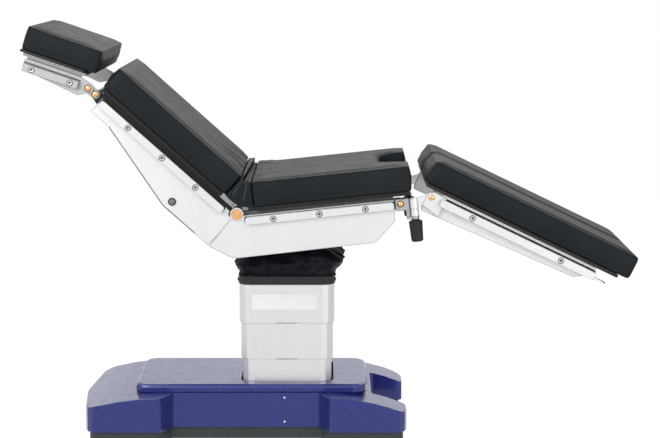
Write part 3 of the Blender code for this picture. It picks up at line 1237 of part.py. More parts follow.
def make_head(link, head):
    """Head section: link plates on a cross shaft, frame with tray and rails, and pad."""
    step = HEAD_UPPER_PIVOT_S - HEAD_LOWER_PIVOT_S
    radius = HEAD_LINK_RADIUS
    slot = arc((0, 0), radius, 90, 270, 2 * CORNER_STEPS) + arc((step, 0), radius, -90, 90, 2 * CORNER_STEPS)
    link_outer = HEAD_LINK_INNER + HEAD_LINK_THICKNESS
    shaft_end = HEAD_LINK_INNER + GAP
    body = rod(HEAD_PIN_RADIUS, (0, -shaft_end, 0), (0, shaft_end, 0), SMALL_SIDES)
    stub_end = HEAD_PLATE_INNER + HEAD_SIDE_THICKNESS + HEAD_BRASS_PROUD
    for side in (-1, 1):
        plate = side_plate(slot, HEAD_LINK_INNER, link_outer, side, 0)
        face = side * (link_outer - GAP)
        cap = rod(HEAD_BRASS_RADIUS, (0, face, 0), (0, side * (link_outer + HEAD_BRASS_PROUD), 0), SMALL_SIDES)
        stub = rod(HEAD_PIN_RADIUS, (step, face, 0), (step, side * stub_end, 0), SMALL_SIDES)
        body = union(body, plate, cap, stub)
    add("head_link", body, "satin_metal", link)

    outer = HEAD_PLATE_INNER + HEAD_SIDE_THICKNESS
    line = arc((0, 0), HEAD_PLATE_NOSE, 90, 210, 2 * CORNER_STEPS) + rounded([
        (HEAD_PLATE_TIP_E, HEAD_PLATE_TIP_M, 0), (HEAD_PLATE_FAR_E, HEAD_PLATE_FAR_M, PANEL_CORNER_ROUND),
        (HEAD_PLATE_END, 0, PANEL_CORNER_ROUND), (HEAD_PLATE_END, HEAD_PLATE_TOP, PANEL_CORNER_ROUND),
        (HEAD_TRAY_START + HEAD_TRAY_LIP, HEAD_PLATE_TOP, 0)])
    tray_low = HEAD_TRAY_TOP - HEAD_TRAY_THICKNESS
    frame = block(
        (HEAD_TRAY_START, -outer, tray_low), (HEAD_TRAY_END, outer, HEAD_TRAY_TOP), FINE_BEVEL)
    board = block(
        (HEAD_TRAY_START + HEAD_TRAY_LIP, -BOARD_HALF_WIDTH, HEAD_TRAY_TOP - GAP),
        (HEAD_TRAY_END, BOARD_HALF_WIDTH, HEAD_TRAY_TOP + HEAD_BOARD_THICKNESS))
    frame = union(frame, board)
    low = RAIL_OUTER - RAIL_THICKNESS
    for side in (-1, 1):
        plate = side_plate(line, HEAD_PLATE_INNER, outer, side, 0)
        y_low, y_high = sorted((side * (HEAD_PLATE_INNER + FINE_BEVEL / 2), side * (outer - FINE_BEVEL / 2)))
        web = block(
            (HEAD_TRAY_START + HEAD_TRAY_LIP, y_low, HEAD_PLATE_TOP - HEAD_TRAY_LIP),
            (HEAD_PLATE_END - HEAD_TRAY_LIP, y_high, tray_low + FINE_BEVEL))
        y_low, y_high = sorted((side * low, side * RAIL_OUTER))
        bar = block(
            (HEAD_RAIL_START, y_low, -RAIL_HEIGHT / 2), (HEAD_RAIL_END, y_high, RAIL_HEIGHT / 2), FINE_BEVEL)
        frame = union(frame, plate, web)
        for place in HEAD_RAIL_BOLTS:
            spacer = rod(
                RAIL_HEIGHT / 3, (place, side * (outer - GAP), 0), (place, side * (low + GAP), 0), SMALL_SIDES)
            bar = union(bar, spacer)
        frame = union(frame, bar)
    bore = rod(
        HEAD_PIN_RADIUS + BORE_CLEARANCE, (0, -outer - CUT_OVERRUN, 0), (0, outer + CUT_OVERRUN, 0), SMALL_SIDES)
    add("head_frame", cut(frame, bore), "satin_metal", head)
    pad = cushion(HEAD_PAD_END - HEAD_PAD_START, PAD_HALF_WIDTH, HEAD_PAD_TOP - HEAD_PAD_BOTTOM)
    add("head_pad", shifted(pad, HEAD_PAD_START, 0, HEAD_PAD_BOTTOM), "black_vinyl", head)


def make_leg(leg, hand, side):
    """One leg section: frame with its board, rail, pad and release lever; made for y > 0."""
    inner = LEG_PLATE_OUTER - LEG_PLATE_THICKNESS
    plate_line = rounded([
        (LEG_PLATE_START, LEG_PLATE_NEAR_BOTTOM, LEG_PLATE_ROUND),
        (LEG_PLATE_HEEL, LEG_PLATE_FAR_BOTTOM, LEG_PLATE_ROUND), (LEG_PLATE_END, 0, LEG_PLATE_ROUND),
        (LEG_PLATE_END, LEG_PLATE_TOP, PANEL_CORNER_ROUND),
        (LEG_PLATE_START, LEG_PLATE_TOP - LEG_PLATE_THICKNESS, LEG_PLATE_ROUND)])
    frame = side_plate(plate_line, inner, LEG_PLATE_OUTER, 1)
    inner_line = [
        (LEG_RAIL_START, LEG_CROSS_H - RAIL_HEIGHT), (LEG_PLATE_HEEL, LEG_CROSS_H - RAIL_HEIGHT),
        (LEG_PLATE_END, LEG_PLATE_TOP), (LEG_RAIL_START, LEG_PLATE_TOP)]
    frame = union(frame, side_plate(
        inner_line, LEG_INNER_PLATE_Y, LEG_INNER_PLATE_Y + LEG_PLATE_THICKNESS, 1, 0))
    for place in LEG_CROSS_PLACES:
        frame = union(frame, rod(
            LEG_CROSS_RADIUS, (place, LEG_INNER_PLATE_Y + GAP, LEG_CROSS_H), (place, inner + GAP, LEG_CROSS_H),
            SMALL_SIDES))
    board_low = LEG_BOARD_TOP - LEG_BOARD_THICKNESS
    board = block(
        (LEG_BOARD_START, LEG_PAD_INNER + CUSHION_EDGE / 2, board_low),
        (LEG_BOARD_END, BOARD_HALF_WIDTH, LEG_BOARD_TOP), FINE_BEVEL)
    frame = union(frame, board)
    for y in (LEG_INNER_PLATE_Y, inner):
        frame = union(frame, block(
            (LEG_RAIL_START + GAP, y + GAP, LEG_PLATE_TOP - LEG_PLATE_THICKNESS),
            (LEG_PLATE_END - LEG_PLATE_THICKNESS, y + LEG_PLATE_THICKNESS - GAP, board_low + FINE_BEVEL)))
    mount_low = LEVER_PIVOT_H - LEVER_WIRE_RADIUS - BORE_CLEARANCE - LEG_PLATE_THICKNESS / 2
    ear_y = LEVER_Y - LEVER_HALF_WIDTH / 2
    ear = block(
        (LEVER_PIVOT_G - LEG_CROSS_RADIUS, ear_y, mount_low),
        (LEVER_PIVOT_G + LEG_CROSS_RADIUS, ear_y + LEVER_HALF_WIDTH, board_low + FINE_BEVEL))
    frame = union(frame, ear)
    pivot = rod(
        LEG_PIVOT_PIN_RADIUS + BORE_CLEARANCE, (0, inner - CUT_OVERRUN, 0), (0, LEG_PLATE_OUTER + CUT_OVERRUN, 0))
    lever_bore = rod(
        LEVER_WIRE_RADIUS + BORE_CLEARANCE, (LEVER_PIVOT_G, ear_y - CUT_OVERRUN, LEVER_PIVOT_H),
        (LEVER_PIVOT_G, ear_y + LEVER_HALF_WIDTH + CUT_OVERRUN, LEVER_PIVOT_H), SMALL_SIDES)
    frame = cut(frame, pivot, lever_bore)
    add(f"leg_frame_{hand}", to_side(frame, side), "satin_metal", leg)

    bar = rail(LEG_RAIL_START, LEG_RAIL_END, LEG_RAIL_H, LEG_RAIL_BOLTS, LEG_PLATE_OUTER)
    add(f"leg_rail_{hand}", to_side(bar, side), "brushed_steel", leg)
    half = (PAD_HALF_WIDTH - LEG_PAD_INNER) / 2
    pad = cushion(LEG_PAD_END - LEG_PAD_START, half, LEG_PAD_TOP - LEG_PAD_BOTTOM)
    shifted(pad, LEG_PAD_START, LEG_PAD_INNER + half, LEG_PAD_BOTTOM)
    add(f"leg_pad_{hand}", to_side(pad, side), "black_vinyl", leg)
    make_lever(leg, hand, side)


def make_lever(leg, hand, side):
    """The wire loop at the leg's foot end, turning on its own bent-in ends."""
    curve = bpy.data.curves.new("wire", "CURVE")
    curve.dimensions = "3D"
    curve.bevel_depth = LEVER_WIRE_RADIUS
    curve.bevel_resolution = 2
    curve.use_fill_caps = True
    bend = LEVER_HALF_WIDTH / 2
    outer = arc((LEVER_LENGTH - bend, LEVER_HALF_WIDTH - bend), bend, 0, 90)
    half_loop = [(0, LEVER_HALF_WIDTH - bend / 2), (bend / 2, LEVER_HALF_WIDTH)] + outer[::-1]
    path = half_loop + [(x, -y) for x, y in half_loop[::-1]]
    spline = curve.splines.new("POLY")
    spline.points.add(len(path) - 1)
    for point, (x, y) in zip(spline.points, path):
        point.co = (x, y, 0, 1)
    spline.use_cyclic_u = True
    curve.twist_mode = "Z_UP"
    holder = bpy.data.objects.new("wire", curve)
    CUTTERS.objects.link(holder)
    bpy.context.view_layer.update()
    seen = holder.evaluated_get(bpy.context.evaluated_depsgraph_get())
    mesh = bpy.data.meshes.new_from_object(seen)
    bpy.data.objects.remove(holder, do_unlink=True)
    tidy(mesh)
    hinge = anchor(f"lever_{hand}", (LEVER_PIVOT_G, side * LEVER_Y, LEVER_PIVOT_H), parent=leg)
    add(f"leg_lever_{hand}", mesh, "brushed_steel", hinge)


def main():
    """Build the whole table."""
    hands = (("near", -1), ("far", 1))
    make_base()
    make_chassis()
    make_castors()
    make_floor_locks()
    make_column()
    make_boot()
    pivot = (BACK_PIVOT_X, 0, BACK_PIVOT_Z)
    seat = anchor("seat_place", pivot, (0, math.radians(-SEAT_TILT), 0))
    make_tilt_gear()
    make_seat(seat, hands)
    make_leg_mounts(seat, hands)
    back = anchor("back_place", pivot, (0, math.radians(-BACK_SLOPE), math.pi))
    make_back(back, hands)
    link = anchor("head_link_place", (HEAD_LOWER_PIVOT_S, 0, HEAD_PIVOT_N), parent=back)
    head_turn = (0, math.radians(BACK_SLOPE - HEAD_SLOPE), 0)
    head = anchor("head_place", (HEAD_UPPER_PIVOT_S - HEAD_LOWER_PIVOT_S, 0, 0), head_turn, link)
    make_head(link, head)
    leg_turn = (0, math.radians(SEAT_TILT + LEG_SLOPE), 0)
    for hand, side in hands:
        pin_place = anchor(f"leg_pin_{hand}", (LEG_PIN_U, side * LEG_PIN_Y, 0), parent=seat)
        make_knuckle(pin_place, hand, side)
        make_knob(pin_place, hand)
        leg = anchor(f"leg_place_{hand}", (LEG_PIVOT_U, 0, LEG_PIVOT_W), leg_turn, seat)
        make_leg(leg, hand, side)
    bpy.context.view_layer.update()


main()
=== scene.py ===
"""Looks of the electro-hydraulic operating table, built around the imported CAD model.

Metres, the CAD model's own frame: X from the head end to the foot end, Z up, the near side at -Y.
"""
from __future__ import annotations

import json
import logging
import math
from dataclasses import dataclass, field
from enum import Enum
from typing import Iterable, Protocol, Sequence

import bmesh
import bpy
import numpy as np
from mathutils import Matrix, Vector, noise
from mathutils.bvhtree import BVHTree

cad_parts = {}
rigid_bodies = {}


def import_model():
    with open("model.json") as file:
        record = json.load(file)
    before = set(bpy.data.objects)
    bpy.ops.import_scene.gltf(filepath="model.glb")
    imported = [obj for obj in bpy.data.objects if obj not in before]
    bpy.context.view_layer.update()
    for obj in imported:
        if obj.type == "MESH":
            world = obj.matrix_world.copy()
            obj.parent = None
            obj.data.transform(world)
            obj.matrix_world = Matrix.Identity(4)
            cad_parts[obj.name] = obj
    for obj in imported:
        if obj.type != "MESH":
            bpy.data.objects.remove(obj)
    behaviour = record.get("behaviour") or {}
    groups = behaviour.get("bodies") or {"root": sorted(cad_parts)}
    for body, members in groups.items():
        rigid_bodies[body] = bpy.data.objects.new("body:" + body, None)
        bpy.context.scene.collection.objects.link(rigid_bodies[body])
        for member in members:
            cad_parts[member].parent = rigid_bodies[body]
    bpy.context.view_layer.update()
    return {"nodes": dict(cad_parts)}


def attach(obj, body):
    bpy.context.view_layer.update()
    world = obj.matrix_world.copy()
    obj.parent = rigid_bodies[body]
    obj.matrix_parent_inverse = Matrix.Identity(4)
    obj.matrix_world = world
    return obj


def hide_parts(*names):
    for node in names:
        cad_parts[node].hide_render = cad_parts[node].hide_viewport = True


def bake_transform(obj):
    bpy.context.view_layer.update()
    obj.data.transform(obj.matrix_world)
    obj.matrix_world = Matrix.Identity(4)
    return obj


LOG = logging.getLogger("operating_table")
Point2 = tuple[float, float]
Point3 = tuple[float, float, float]
Socket = bpy.types.NodeSocket

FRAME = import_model()


# --------------------------------------------------------------------------- places


@dataclass(frozen=True)
class Section:
    """The side view of one section of the top, as an origin and a slope.

    Args:
        x: World X of the section's pivot.
        z: World Z of the section's pivot.
        slope: Angle of the section above level, in degrees.
        way: 1 where the section runs towards the foot end, -1 towards the head end.
    """

    x: float
    z: float
    slope: float
    way: int

    def at(self, along: float, across: float, up: float) -> Vector:
        """Return a world point from its place in the section.

        Args:
            along: Distance from the pivot along the section.
            across: World Y.
            up: Distance above the section's line.

        Returns:
            The point.
        """
        turn = math.radians(self.slope)
        run, rise = math.cos(turn), math.sin(turn)
        return Vector((
            self.x + self.way * (along * run - up * rise), across, self.z + along * rise + up * run))

    def matrix(self) -> Matrix:
        """Return the matrix from the section's own axes to the world."""
        origin = self.at(0, 0, 0)
        along = self.at(1, 0, 0) - origin
        up = self.at(0, 0, 1) - origin
        across = up.cross(along)
        turned = Matrix((along, across, up)).transposed().to_4x4()
        return Matrix.Translation(origin) @ turned

    def layer(self, outline: Iterable[Point2], across: float) -> list[Vector]:
        """Return an outline of (along, up) points as a ring at a distance across the table."""
        return [self.at(along, across, up) for along, up in outline]


SEAT = Section(-0.3025, 0.7592, 6.0, 1)
BACK = Section(-0.3025, 0.7592, 42.0, -1)
HEAD_PIVOT = BACK.at(0.606, 0, -0.013)
HEAD = Section(HEAD_PIVOT.x, HEAD_PIVOT.z, 19.0, -1)
LEG_PIVOT = SEAT.at(0.613, 0, -0.011)
LEG = Section(LEG_PIVOT.x, LEG_PIVOT.z, -25.8, 1)


class Hand(Enum):
    """The two sides of the table, by the sign of Y."""

    NEAR = -1
    FAR = 1

    @property
    def word(self) -> str:
        """Return the side's word in node names."""
        return self.name.lower()


# --------------------------------------------------------------------------- finishes


class Shade:
    """A Principled material under construction, with short calls for its usual nodes."""

    def __init__(self, name: str) -> None:
        """Start a material.

        Args:
            name: The material's name.
        """
        self.material = bpy.data.materials.new(name)
        self.material.use_nodes = True
        self.tree = self.material.node_tree
        self.shader = self.tree.nodes["Principled BSDF"]
        self.place = self.tree.nodes.new("ShaderNodeTexCoord").outputs["Object"]

    def link(self, start: Socket, end: Socket) -> None:
        """Join two sockets."""
        self.tree.links.new(start, end)

    def feed(self, name: str, value: Socket) -> None:
        """Lead a value into the shader's socket of a name."""
        self.link(value, self.shader.inputs[name])

    def put(self, **values: object) -> None:
        """Set sockets of the shader; an underscore in a name stands for a space."""
        for name, value in values.items():
            self.shader.inputs[name.replace("_", " ")].default_value = value

    def stretched(self, scale: Point3) -> Socket:
        """Return object coordinates scaled along each axis.

        Args:
            scale: The factors along X, Y and Z.

        Returns:
            The coordinates' socket.
        """
        node = self.tree.nodes.new("ShaderNodeMapping")
        node.inputs["Scale"].default_value = scale
        self.link(self.place, node.inputs["Vector"])
        return node.outputs["Vector"]

    def noise(self, scale: float, detail: float = 3.0, where: Socket | None = None, rough: float = 0.5) -> Socket:
        """Return a noise value from 0 to 1.

        Args:
            scale: Cells per metre.
            detail: Octaves.
            where: Coordinates, the object's own if left out.
            rough: How much the finer octaves show.

        Returns:
            The value's socket.
        """
        node = self.tree.nodes.new("ShaderNodeTexNoise")
        node.inputs["Scale"].default_value = scale
        node.inputs["Detail"].default_value = detail
        node.inputs["Roughness"].default_value = rough
        self.link(where or self.place, node.inputs["Vector"])
        return node.outputs["Fac"]

    def cells(self, scale: float, smooth: float = 0.6) -> Socket:
        """Return the distance to the nearest of scattered points, for grain and hammering.

        Args:
            scale: Cells per metre.
            smooth: How softly the cells run into each other.

        Returns:
            The distance's socket.
        """
        node = self.tree.nodes.new("ShaderNodeTexVoronoi")
        node.feature = "SMOOTH_F1"
        node.inputs["Scale"].default_value = scale
        node.inputs["Smoothness"].default_value = smooth
        self.link(self.place, node.inputs["Vector"])
        return node.outputs["Distance"]

    def between(self, value: Socket, source: Point2, target: Point2 = (0.0, 1.0)) -> Socket:
        """Map one range of a value to another.

        Args:
            value: The value.
            source: The range that it is read from.
            target: The range that it is mapped to.

        Returns:
            The mapped value's socket.
        """
        node = self.tree.nodes.new("ShaderNodeMapRange")
        for name, number in zip(("From Min", "From Max", "To Min", "To Max"), (*source, *target)):
            node.inputs[name].default_value = number
        self.link(value, node.inputs["Value"])
        return node.outputs["Result"]

    def blend(self, value: Socket, first: Point3 | Socket, second: Point3) -> Socket:
        """Return a colour between two.

        Args:
            value: How far to go, from 0 to 1.
            first: The colour at 0, as numbers or as a socket.
            second: The colour at 1.

        Returns:
            The colour's socket.
        """
        node = self.tree.nodes.new("ShaderNodeMix")
        node.data_type = "RGBA"
        if isinstance(first, Socket):
            self.link(first, node.inputs["A"])
        else:
            node.inputs["A"].default_value = (*first, 1.0)
        node.inputs["B"].default_value = (*second, 1.0)
        self.link(value, node.inputs["Factor"])
        return node.outputs["Result"]

    def edges(self, radius: float) -> Socket:
        """Return 1 on sharp edges and 0 on flat faces.

        Args:
            radius: Width of the edge's band in metres.

        Returns:
            The value's socket.
        """
        bevel = self.tree.nodes.new("ShaderNodeBevel")
        bevel.samples = 4
        bevel.inputs["Radius"].default_value = radius
        plain = self.tree.nodes.new("ShaderNodeNewGeometry")
        match = self.tree.nodes.new("ShaderNodeVectorMath")
        match.operation = "DOT_PRODUCT"
        self.link(bevel.outputs["Normal"], match.inputs[0])
        self.link(plain.outputs["Normal"], match.inputs[1])
        return self.between(match.outputs["Value"], (0.86, 0.995), (1.0, 0.0))

    def bump(self, height: Socket, distance: float, strength: float = 1.0) -> None:
        """Add a bump to the shader's normal, on top of any that is there.

        Args:
            height: The height value.
            distance: Height of the bump in metres.
            strength: How much of it shows.
        """
        node = self.tree.nodes.new("ShaderNodeBump")
        node.inputs["Distance"].default_value = distance
        node.inputs["Strength"].default_value = strength
        self.link(height, node.inputs["Height"])
        old = self.shader.inputs["Normal"].links
        if old:
            self.link(old[0].from_socket, node.inputs["Normal"])
        self.link(node.outputs["Normal"], self.shader.inputs["Normal"])


@dataclass(frozen=True)
class Finish:
    """A finish, and the colours and sizes it is made from."""

    name: str
    colour: Point3
    second: Point3
    roughness: float = 0.4
    metallic: float = 0.0

    def shade(self) -> bpy.types.Material:
        """Return the material, built once."""
        title = f"{self.name}_finish"
        made = bpy.data.materials.get(title)
        if made:
            return made
        shade = Shade(title)
        shade.put(Metallic=self.metallic, Roughness=self.roughness)
        self.dress(shade)
        return shade.material

    def dress(self, shade: Shade) -> None:
        """Add the finish's own nodes: here one colour that drifts to the second in wide patches."""
        shade.feed("Base Color", self.mottled(shade.noise(9.0), shade))

    def mottled(self, value: Socket, shade: Shade) -> Socket:
        """Return the finish's colour, going over to the second with a value."""
        return shade.blend(value, self.colour, self.second)

    def worn(self, body: Socket, shade: Shade, radius: float, share: float) -> Socket:
        """Return a colour with painted shade along sharp edges.

        Args:
            body: The colour away from the edges.
            shade: The material under construction.
            radius: Width of the painted shade line in metres.
            share: The painted shade line's tone, as a share of the finish's first colour.

        Returns:
            The colour's socket.
        """
        red, green, blue = self.colour
        return shade.blend(shade.edges(radius), body, (share * red, share * green, share * blue))

    def varied(self, value: Socket, shade: Shade, source: Point2, less: float, more: float) -> Socket:
        """Return a roughness that goes with a value from a little under the finish's own to a little over it."""
        return shade.between(value, source, (self.roughness - less, self.roughness + more))


@dataclass(frozen=True)
class HammeredLacquer(Finish):
    """Metallic lacquer with a fine hammered skin and flecks."""

    cell: float = 300.0
    fleck: float = 330.0

    def dress(self, shade: Shade) -> None:
        """Mix flecks into the colour and dimple the surface.

        Args:
            shade: The material under construction.
        """
        flecks = shade.between(shade.noise(self.fleck, 2.0), (0.38, 0.66))
        shade.feed("Base Color", self.mottled(flecks, shade))
        shade.put(Specular_IOR_Level=0.35, Coat_Weight=0.75, Coat_Roughness=0.09, Coat_IOR=1.45)
        shade.feed("Roughness", self.varied(shade.noise(40.0), shade, (0.3, 0.7), 0.05, 0.07))
        shade.bump(shade.cells(self.cell), 0.0007, 0.55)
        shade.bump(shade.noise(self.cell * 2, 2.0), 0.0002, 0.4)


@dataclass(frozen=True)
class BlastedMetal(Finish):
    """Satin metal, bead blasted: an even fine sparkle, with faint handling marks."""

    grain: float = 1500.0
    speckle: float = 330.0
    # Width of the painted shade along sharp edges, in metres.
    edge: float = 0.0022

    def dress(self, shade: Shade) -> None:
        """Vary colour and roughness a little, paint shade along the cut edges, and add the fine grain.

        Args:
            shade: The material under construction.
        """
        sparkle = shade.between(shade.noise(self.speckle, 2.0), (0.34, 0.66))
        shade.feed("Base Color", self.worn(self.mottled(sparkle, shade), shade, self.edge, 0.22))
        shade.feed("Roughness", self.varied(shade.noise(14.0, 5.0), shade, (0.3, 0.7), 0.04, 0.06))
        shade.bump(shade.noise(self.grain, 2.0), 0.00006, 0.5)


@dataclass(frozen=True)
class BrushedMetal(Finish):
    """Metal with a lengthwise brushed grain along one axis of the table."""

    lengthwise: Point3 = (18.0, 900.0, 900.0)
    # Width of the painted shade along sharp edges, in metres.
    edge: float = 0.0016

    def dress(self, shade: Shade) -> None:
        """Draw the brushing into colour, roughness and bump, and paint shade along the edges.

        Args:
            shade: The material under construction.
        """
        lines = shade.noise(1.0, 4.0, shade.stretched(self.lengthwise), 0.7)
        shade.feed("Base Color", self.worn(self.mottled(lines, shade), shade, self.edge, 0.25))
        shade.feed("Roughness", self.varied(lines, shade, (0.2, 0.8), 0.08, 0.1))
        shade.bump(lines, 0.00005, 0.5)


@dataclass(frozen=True)
class Vinyl(Finish):
    """Coated upholstery cloth with a fine leather grain and a soft sheen."""

    grain: float = 620.0

    def dress(self, shade: Shade) -> None:
        """Add grain at two sizes, faint creasing and a sheen.

        Args:
            shade: The material under construction.
        """
        wear = shade.between(shade.noise(6.0, 5.0), (0.25, 0.75))
        shade.feed("Base Color", self.mottled(wear, shade))
        shade.feed("Roughness", self.varied(shade.noise(22.0, 4.0), shade, (0.3, 0.7), 0.04, 0.05))
        shade.put(Sheen_Weight=0.01, Sheen_Roughness=0.4, Specular_IOR_Level=0.10)
        shade.bump(shade.cells(self.grain, 0.4), 0.00022, 0.45)
        shade.bump(shade.noise(self.grain * 2.2, 3.0), 0.00008, 0.5)
        shade.bump(shade.noise(11.0, 2.0), 0.0035, 0.10)


@dataclass(frozen=True)
class Moulded(Finish):
    """Moulded plastic or rubber with a fine spark-eroded skin."""

    texture: float = 800.0
    depth: float = 0.00018
    gloss: float = 0.3

    def dress(self, shade: Shade) -> None:
        """Add the skin and a little colour change.

        Args:
            shade: The material under construction.
        """
        shade.put(Specular_IOR_Level=self.gloss)
        shade.feed("Base Color", self.mottled(shade.noise(18.0, 4.0), shade))
        shade.bump(shade.noise(self.texture, 3.0), self.depth, 0.5)


@dataclass(frozen=True)
class Turned(Finish):
    """Turned metal, bright, with fine tool rings and a slight tarnish."""

    rings: Point3 = (2600.0, 200.0, 2600.0)

    def dress(self, shade: Shade) -> None:
        """Add tarnish patches and a fine bump.

        Args:
            shade: The material under construction.
        """
        patch = shade.between(shade.noise(160.0, 4.0), (0.35, 0.7))
        shade.feed("Base Color", self.mottled(patch, shade))
        shade.bump(shade.noise(1.0, 3.0, shade.stretched(self.rings)), 0.00006, 0.5)


@dataclass(frozen=True)
class Proofed(Finish):
    """Proofed cloth: a fine weave under a dull coating."""

    threads: float = 1400.0
    length: float = 60.0

    def dress(self, shade: Shade) -> None:
        """Cross two sets of threads and add a soft sheen.

        Args:
            shade: The material under construction.
        """
        shade.feed("Base Color", self.mottled(shade.noise(14.0, 4.0), shade))
        shade.put(Sheen_Weight=0.03, Sheen_Roughness=0.35, Specular_IOR_Level=0.14)
        for axis in ((self.threads, self.threads, self.length), (self.length, self.length, self.threads)):
            shade.bump(shade.noise(1.0, 1.0, shade.stretched(axis)), 0.00012, 0.35)


BLUE_LACQUER = HammeredLacquer("blue_lacquer", (0.002, 0.006, 0.100), (0.020, 0.034, 0.290), 0.34, 0.30)
SKIRT_GREY = Moulded("skirt_grey", (0.036, 0.043, 0.046), (0.046, 0.054, 0.057), 0.5)
SATIN_METAL = BlastedMetal("satin_metal", (0.740, 0.740, 0.745), (0.670, 0.672, 0.680), 0.44, 0.70, edge=0.0040)
COLUMN_METAL = BlastedMetal("column_metal", (0.740, 0.737, 0.734), (0.680, 0.678, 0.680), 0.36, 0.60)
BRUSHED_STEEL = BrushedMetal("brushed_steel", (0.70, 0.70, 0.71), (0.84, 0.84, 0.85), 0.26, 0.9)
BRACKET_STEEL = BlastedMetal("bracket_steel", (0.36, 0.375, 0.375), (0.44, 0.455, 0.455), 0.34, 0.85)
SHADOW_BLACK = Moulded("shadow_black", (0.010, 0.010, 0.011), (0.016, 0.016, 0.017), 0.7)
DARK_STEEL = BlastedMetal("dark_steel", (0.14, 0.145, 0.15), (0.20, 0.205, 0.21), 0.5, 0.6)
CAST_METAL = BlastedMetal("cast_metal", (0.34, 0.35, 0.36), (0.44, 0.45, 0.46), 0.5, 0.7, 700.0)
BLACK_PLASTIC = Moulded("black_plastic", (0.012, 0.012, 0.013), (0.022, 0.022, 0.024), 0.42)
BLACK_VINYL = Vinyl("black_vinyl", (0.0110, 0.0140, 0.0160), (0.0180, 0.0215, 0.0240), 0.50)
# A darker copy of the satin metal for the head's frame and link: painted shade on the head.
SHADED_HEAD_METAL = BlastedMetal("head_metal", (0.46, 0.46, 0.465), (0.38, 0.38, 0.386), 0.46, 0.70)
# Lighter vinyl for the welts along the fold's edges: a painted highlight on those edges.
VINYL_EDGE_HIGHLIGHT = Vinyl("black_vinyl_edge", (0.060, 0.066, 0.072), (0.085, 0.092, 0.098), 0.40)
BOOT_CLOTH = Proofed("boot_cloth", (0.0055, 0.004, 0.008), (0.011, 0.009, 0.015), 0.55)
BRASS = Turned("brass", (0.86, 0.50, 0.23), (0.70, 0.36, 0.15), 0.24, 1.0)
BRIGHT_STEEL = Turned("bright_steel", (0.78, 0.78, 0.79), (0.62, 0.62, 0.63), 0.2, 1.0)
TYRE_GREY = Moulded("tyre_grey", (0.13, 0.13, 0.14), (0.18, 0.18, 0.19), 0.65)
BOLT_STEEL = BlastedMetal("bolt_steel", (0.50, 0.50, 0.51), (0.60, 0.60, 0.61), 0.30, 0.9)
# Dark grey for the ring round each bolt: painted shade of the recess it sits in.
RECESS_SHADE = BlastedMetal("recess_grey", (0.16, 0.16, 0.165), (0.22, 0.22, 0.225), 0.45, 0.7)
WHITE_PLATE = Moulded("white_plate", (0.86, 0.86, 0.85), (0.90, 0.90, 0.89), 0.35, 0.0, 1500.0, 0.00003)


# --------------------------------------------------------------------------- mesh helpers


# Edges sharper than this many degrees stay sharp: on cut metal, on mouldings, on the fold, and nowhere.
CRISP = 35.0
MOULDED_EDGE = 40.0
FOLDED_EDGE = 60.0
ALL_SMOOTH = 180.0


class Ends(Enum):
    """What a stack of rings does at its first and last ring."""

    CAPPED = "capped"
    JOINED = "joined"
    OPEN = "open"


def object_from(name: str, mesh: bpy.types.Mesh, look: Finish, smooth: float) -> bpy.types.Object:
    """Put a mesh into the scene as a finished piece.

    Args:
        name: The piece's name.
        mesh: Its mesh, in world places.
        look: Its finish.
        smooth: Edges sharper than this many degrees stay sharp.

    Returns:
        The new object, at the origin.
    """
    piece = bpy.data.objects.new(name, mesh)
    bpy.context.scene.collection.objects.link(piece)
    mesh.materials.clear()
    mesh.materials.append(look.shade())
    mesh.shade_smooth()
    mesh.set_sharp_from_angle(angle=math.radians(smooth))
    return piece


def riding(name: str, mesh: bpy.types.Mesh, look: Finish, body: str, smooth: float = CRISP) -> bpy.types.Object:
    """Put a mesh into the scene as a finished piece that rides on a CAD body.

    Args:
        name: The piece's name.
        mesh: Its mesh, in world places.
        look: Its finish.
        body: The body that it rides on.
        smooth: Edges sharper than this many degrees stay sharp.

    Returns:
        The new object.
    """
    piece = object_from(name, mesh, look, smooth)
    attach(piece, body)
    return piece


def mesh_from(work: bmesh.types.BMesh, name: str, weld: float = 0.00002) -> bpy.types.Mesh:
    """Weld a bmesh, point its faces out and return it as a mesh.

    Args:
        work: The bmesh, which is freed.
        name: The mesh's name.
        weld: Points nearer than this become one.

    Returns:
        The mesh.
    """
    bmesh.ops.remove_doubles(work, verts=work.verts, dist=weld)
    bmesh.ops.recalc_face_normals(work, faces=work.faces)
    mesh = bpy.data.meshes.new(name)
    work.to_mesh(mesh)
    work.free()
    return mesh


def applied(piece: bpy.types.Object) -> bpy.types.Mesh:
    """Return a copy of a piece's mesh with its modifiers applied.

    Args:
        piece: The piece, which stays as it is.

    Returns:
        The new mesh.
    """
    bpy.context.view_layer.update()
    seen = piece.evaluated_get(bpy.context.evaluated_depsgraph_get())
    return bpy.data.meshes.new_from_object(seen)


def settle(piece: bpy.types.Object) -> None:
    """Bake a piece's modifiers into its mesh and drop them.

    Args:
        piece: The piece.
    """
    mesh = applied(piece)
    piece.modifiers.clear()
    piece.data = mesh


def points_of(mesh: bpy.types.Mesh) -> np.ndarray:
    """Return a mesh's points.

    Args:
        mesh: The mesh.

    Returns:
        The points, one in each row.
    """
    spots = np.empty(len(mesh.vertices) * 3)
    mesh.vertices.foreach_get("co", spots)
    return spots.reshape(-1, 3)


def eased(share: float | np.ndarray) -> float | np.ndarray:
    """Return a share from 0 to 1 that starts and ends gently."""
    return share * share * (3 - 2 * share)


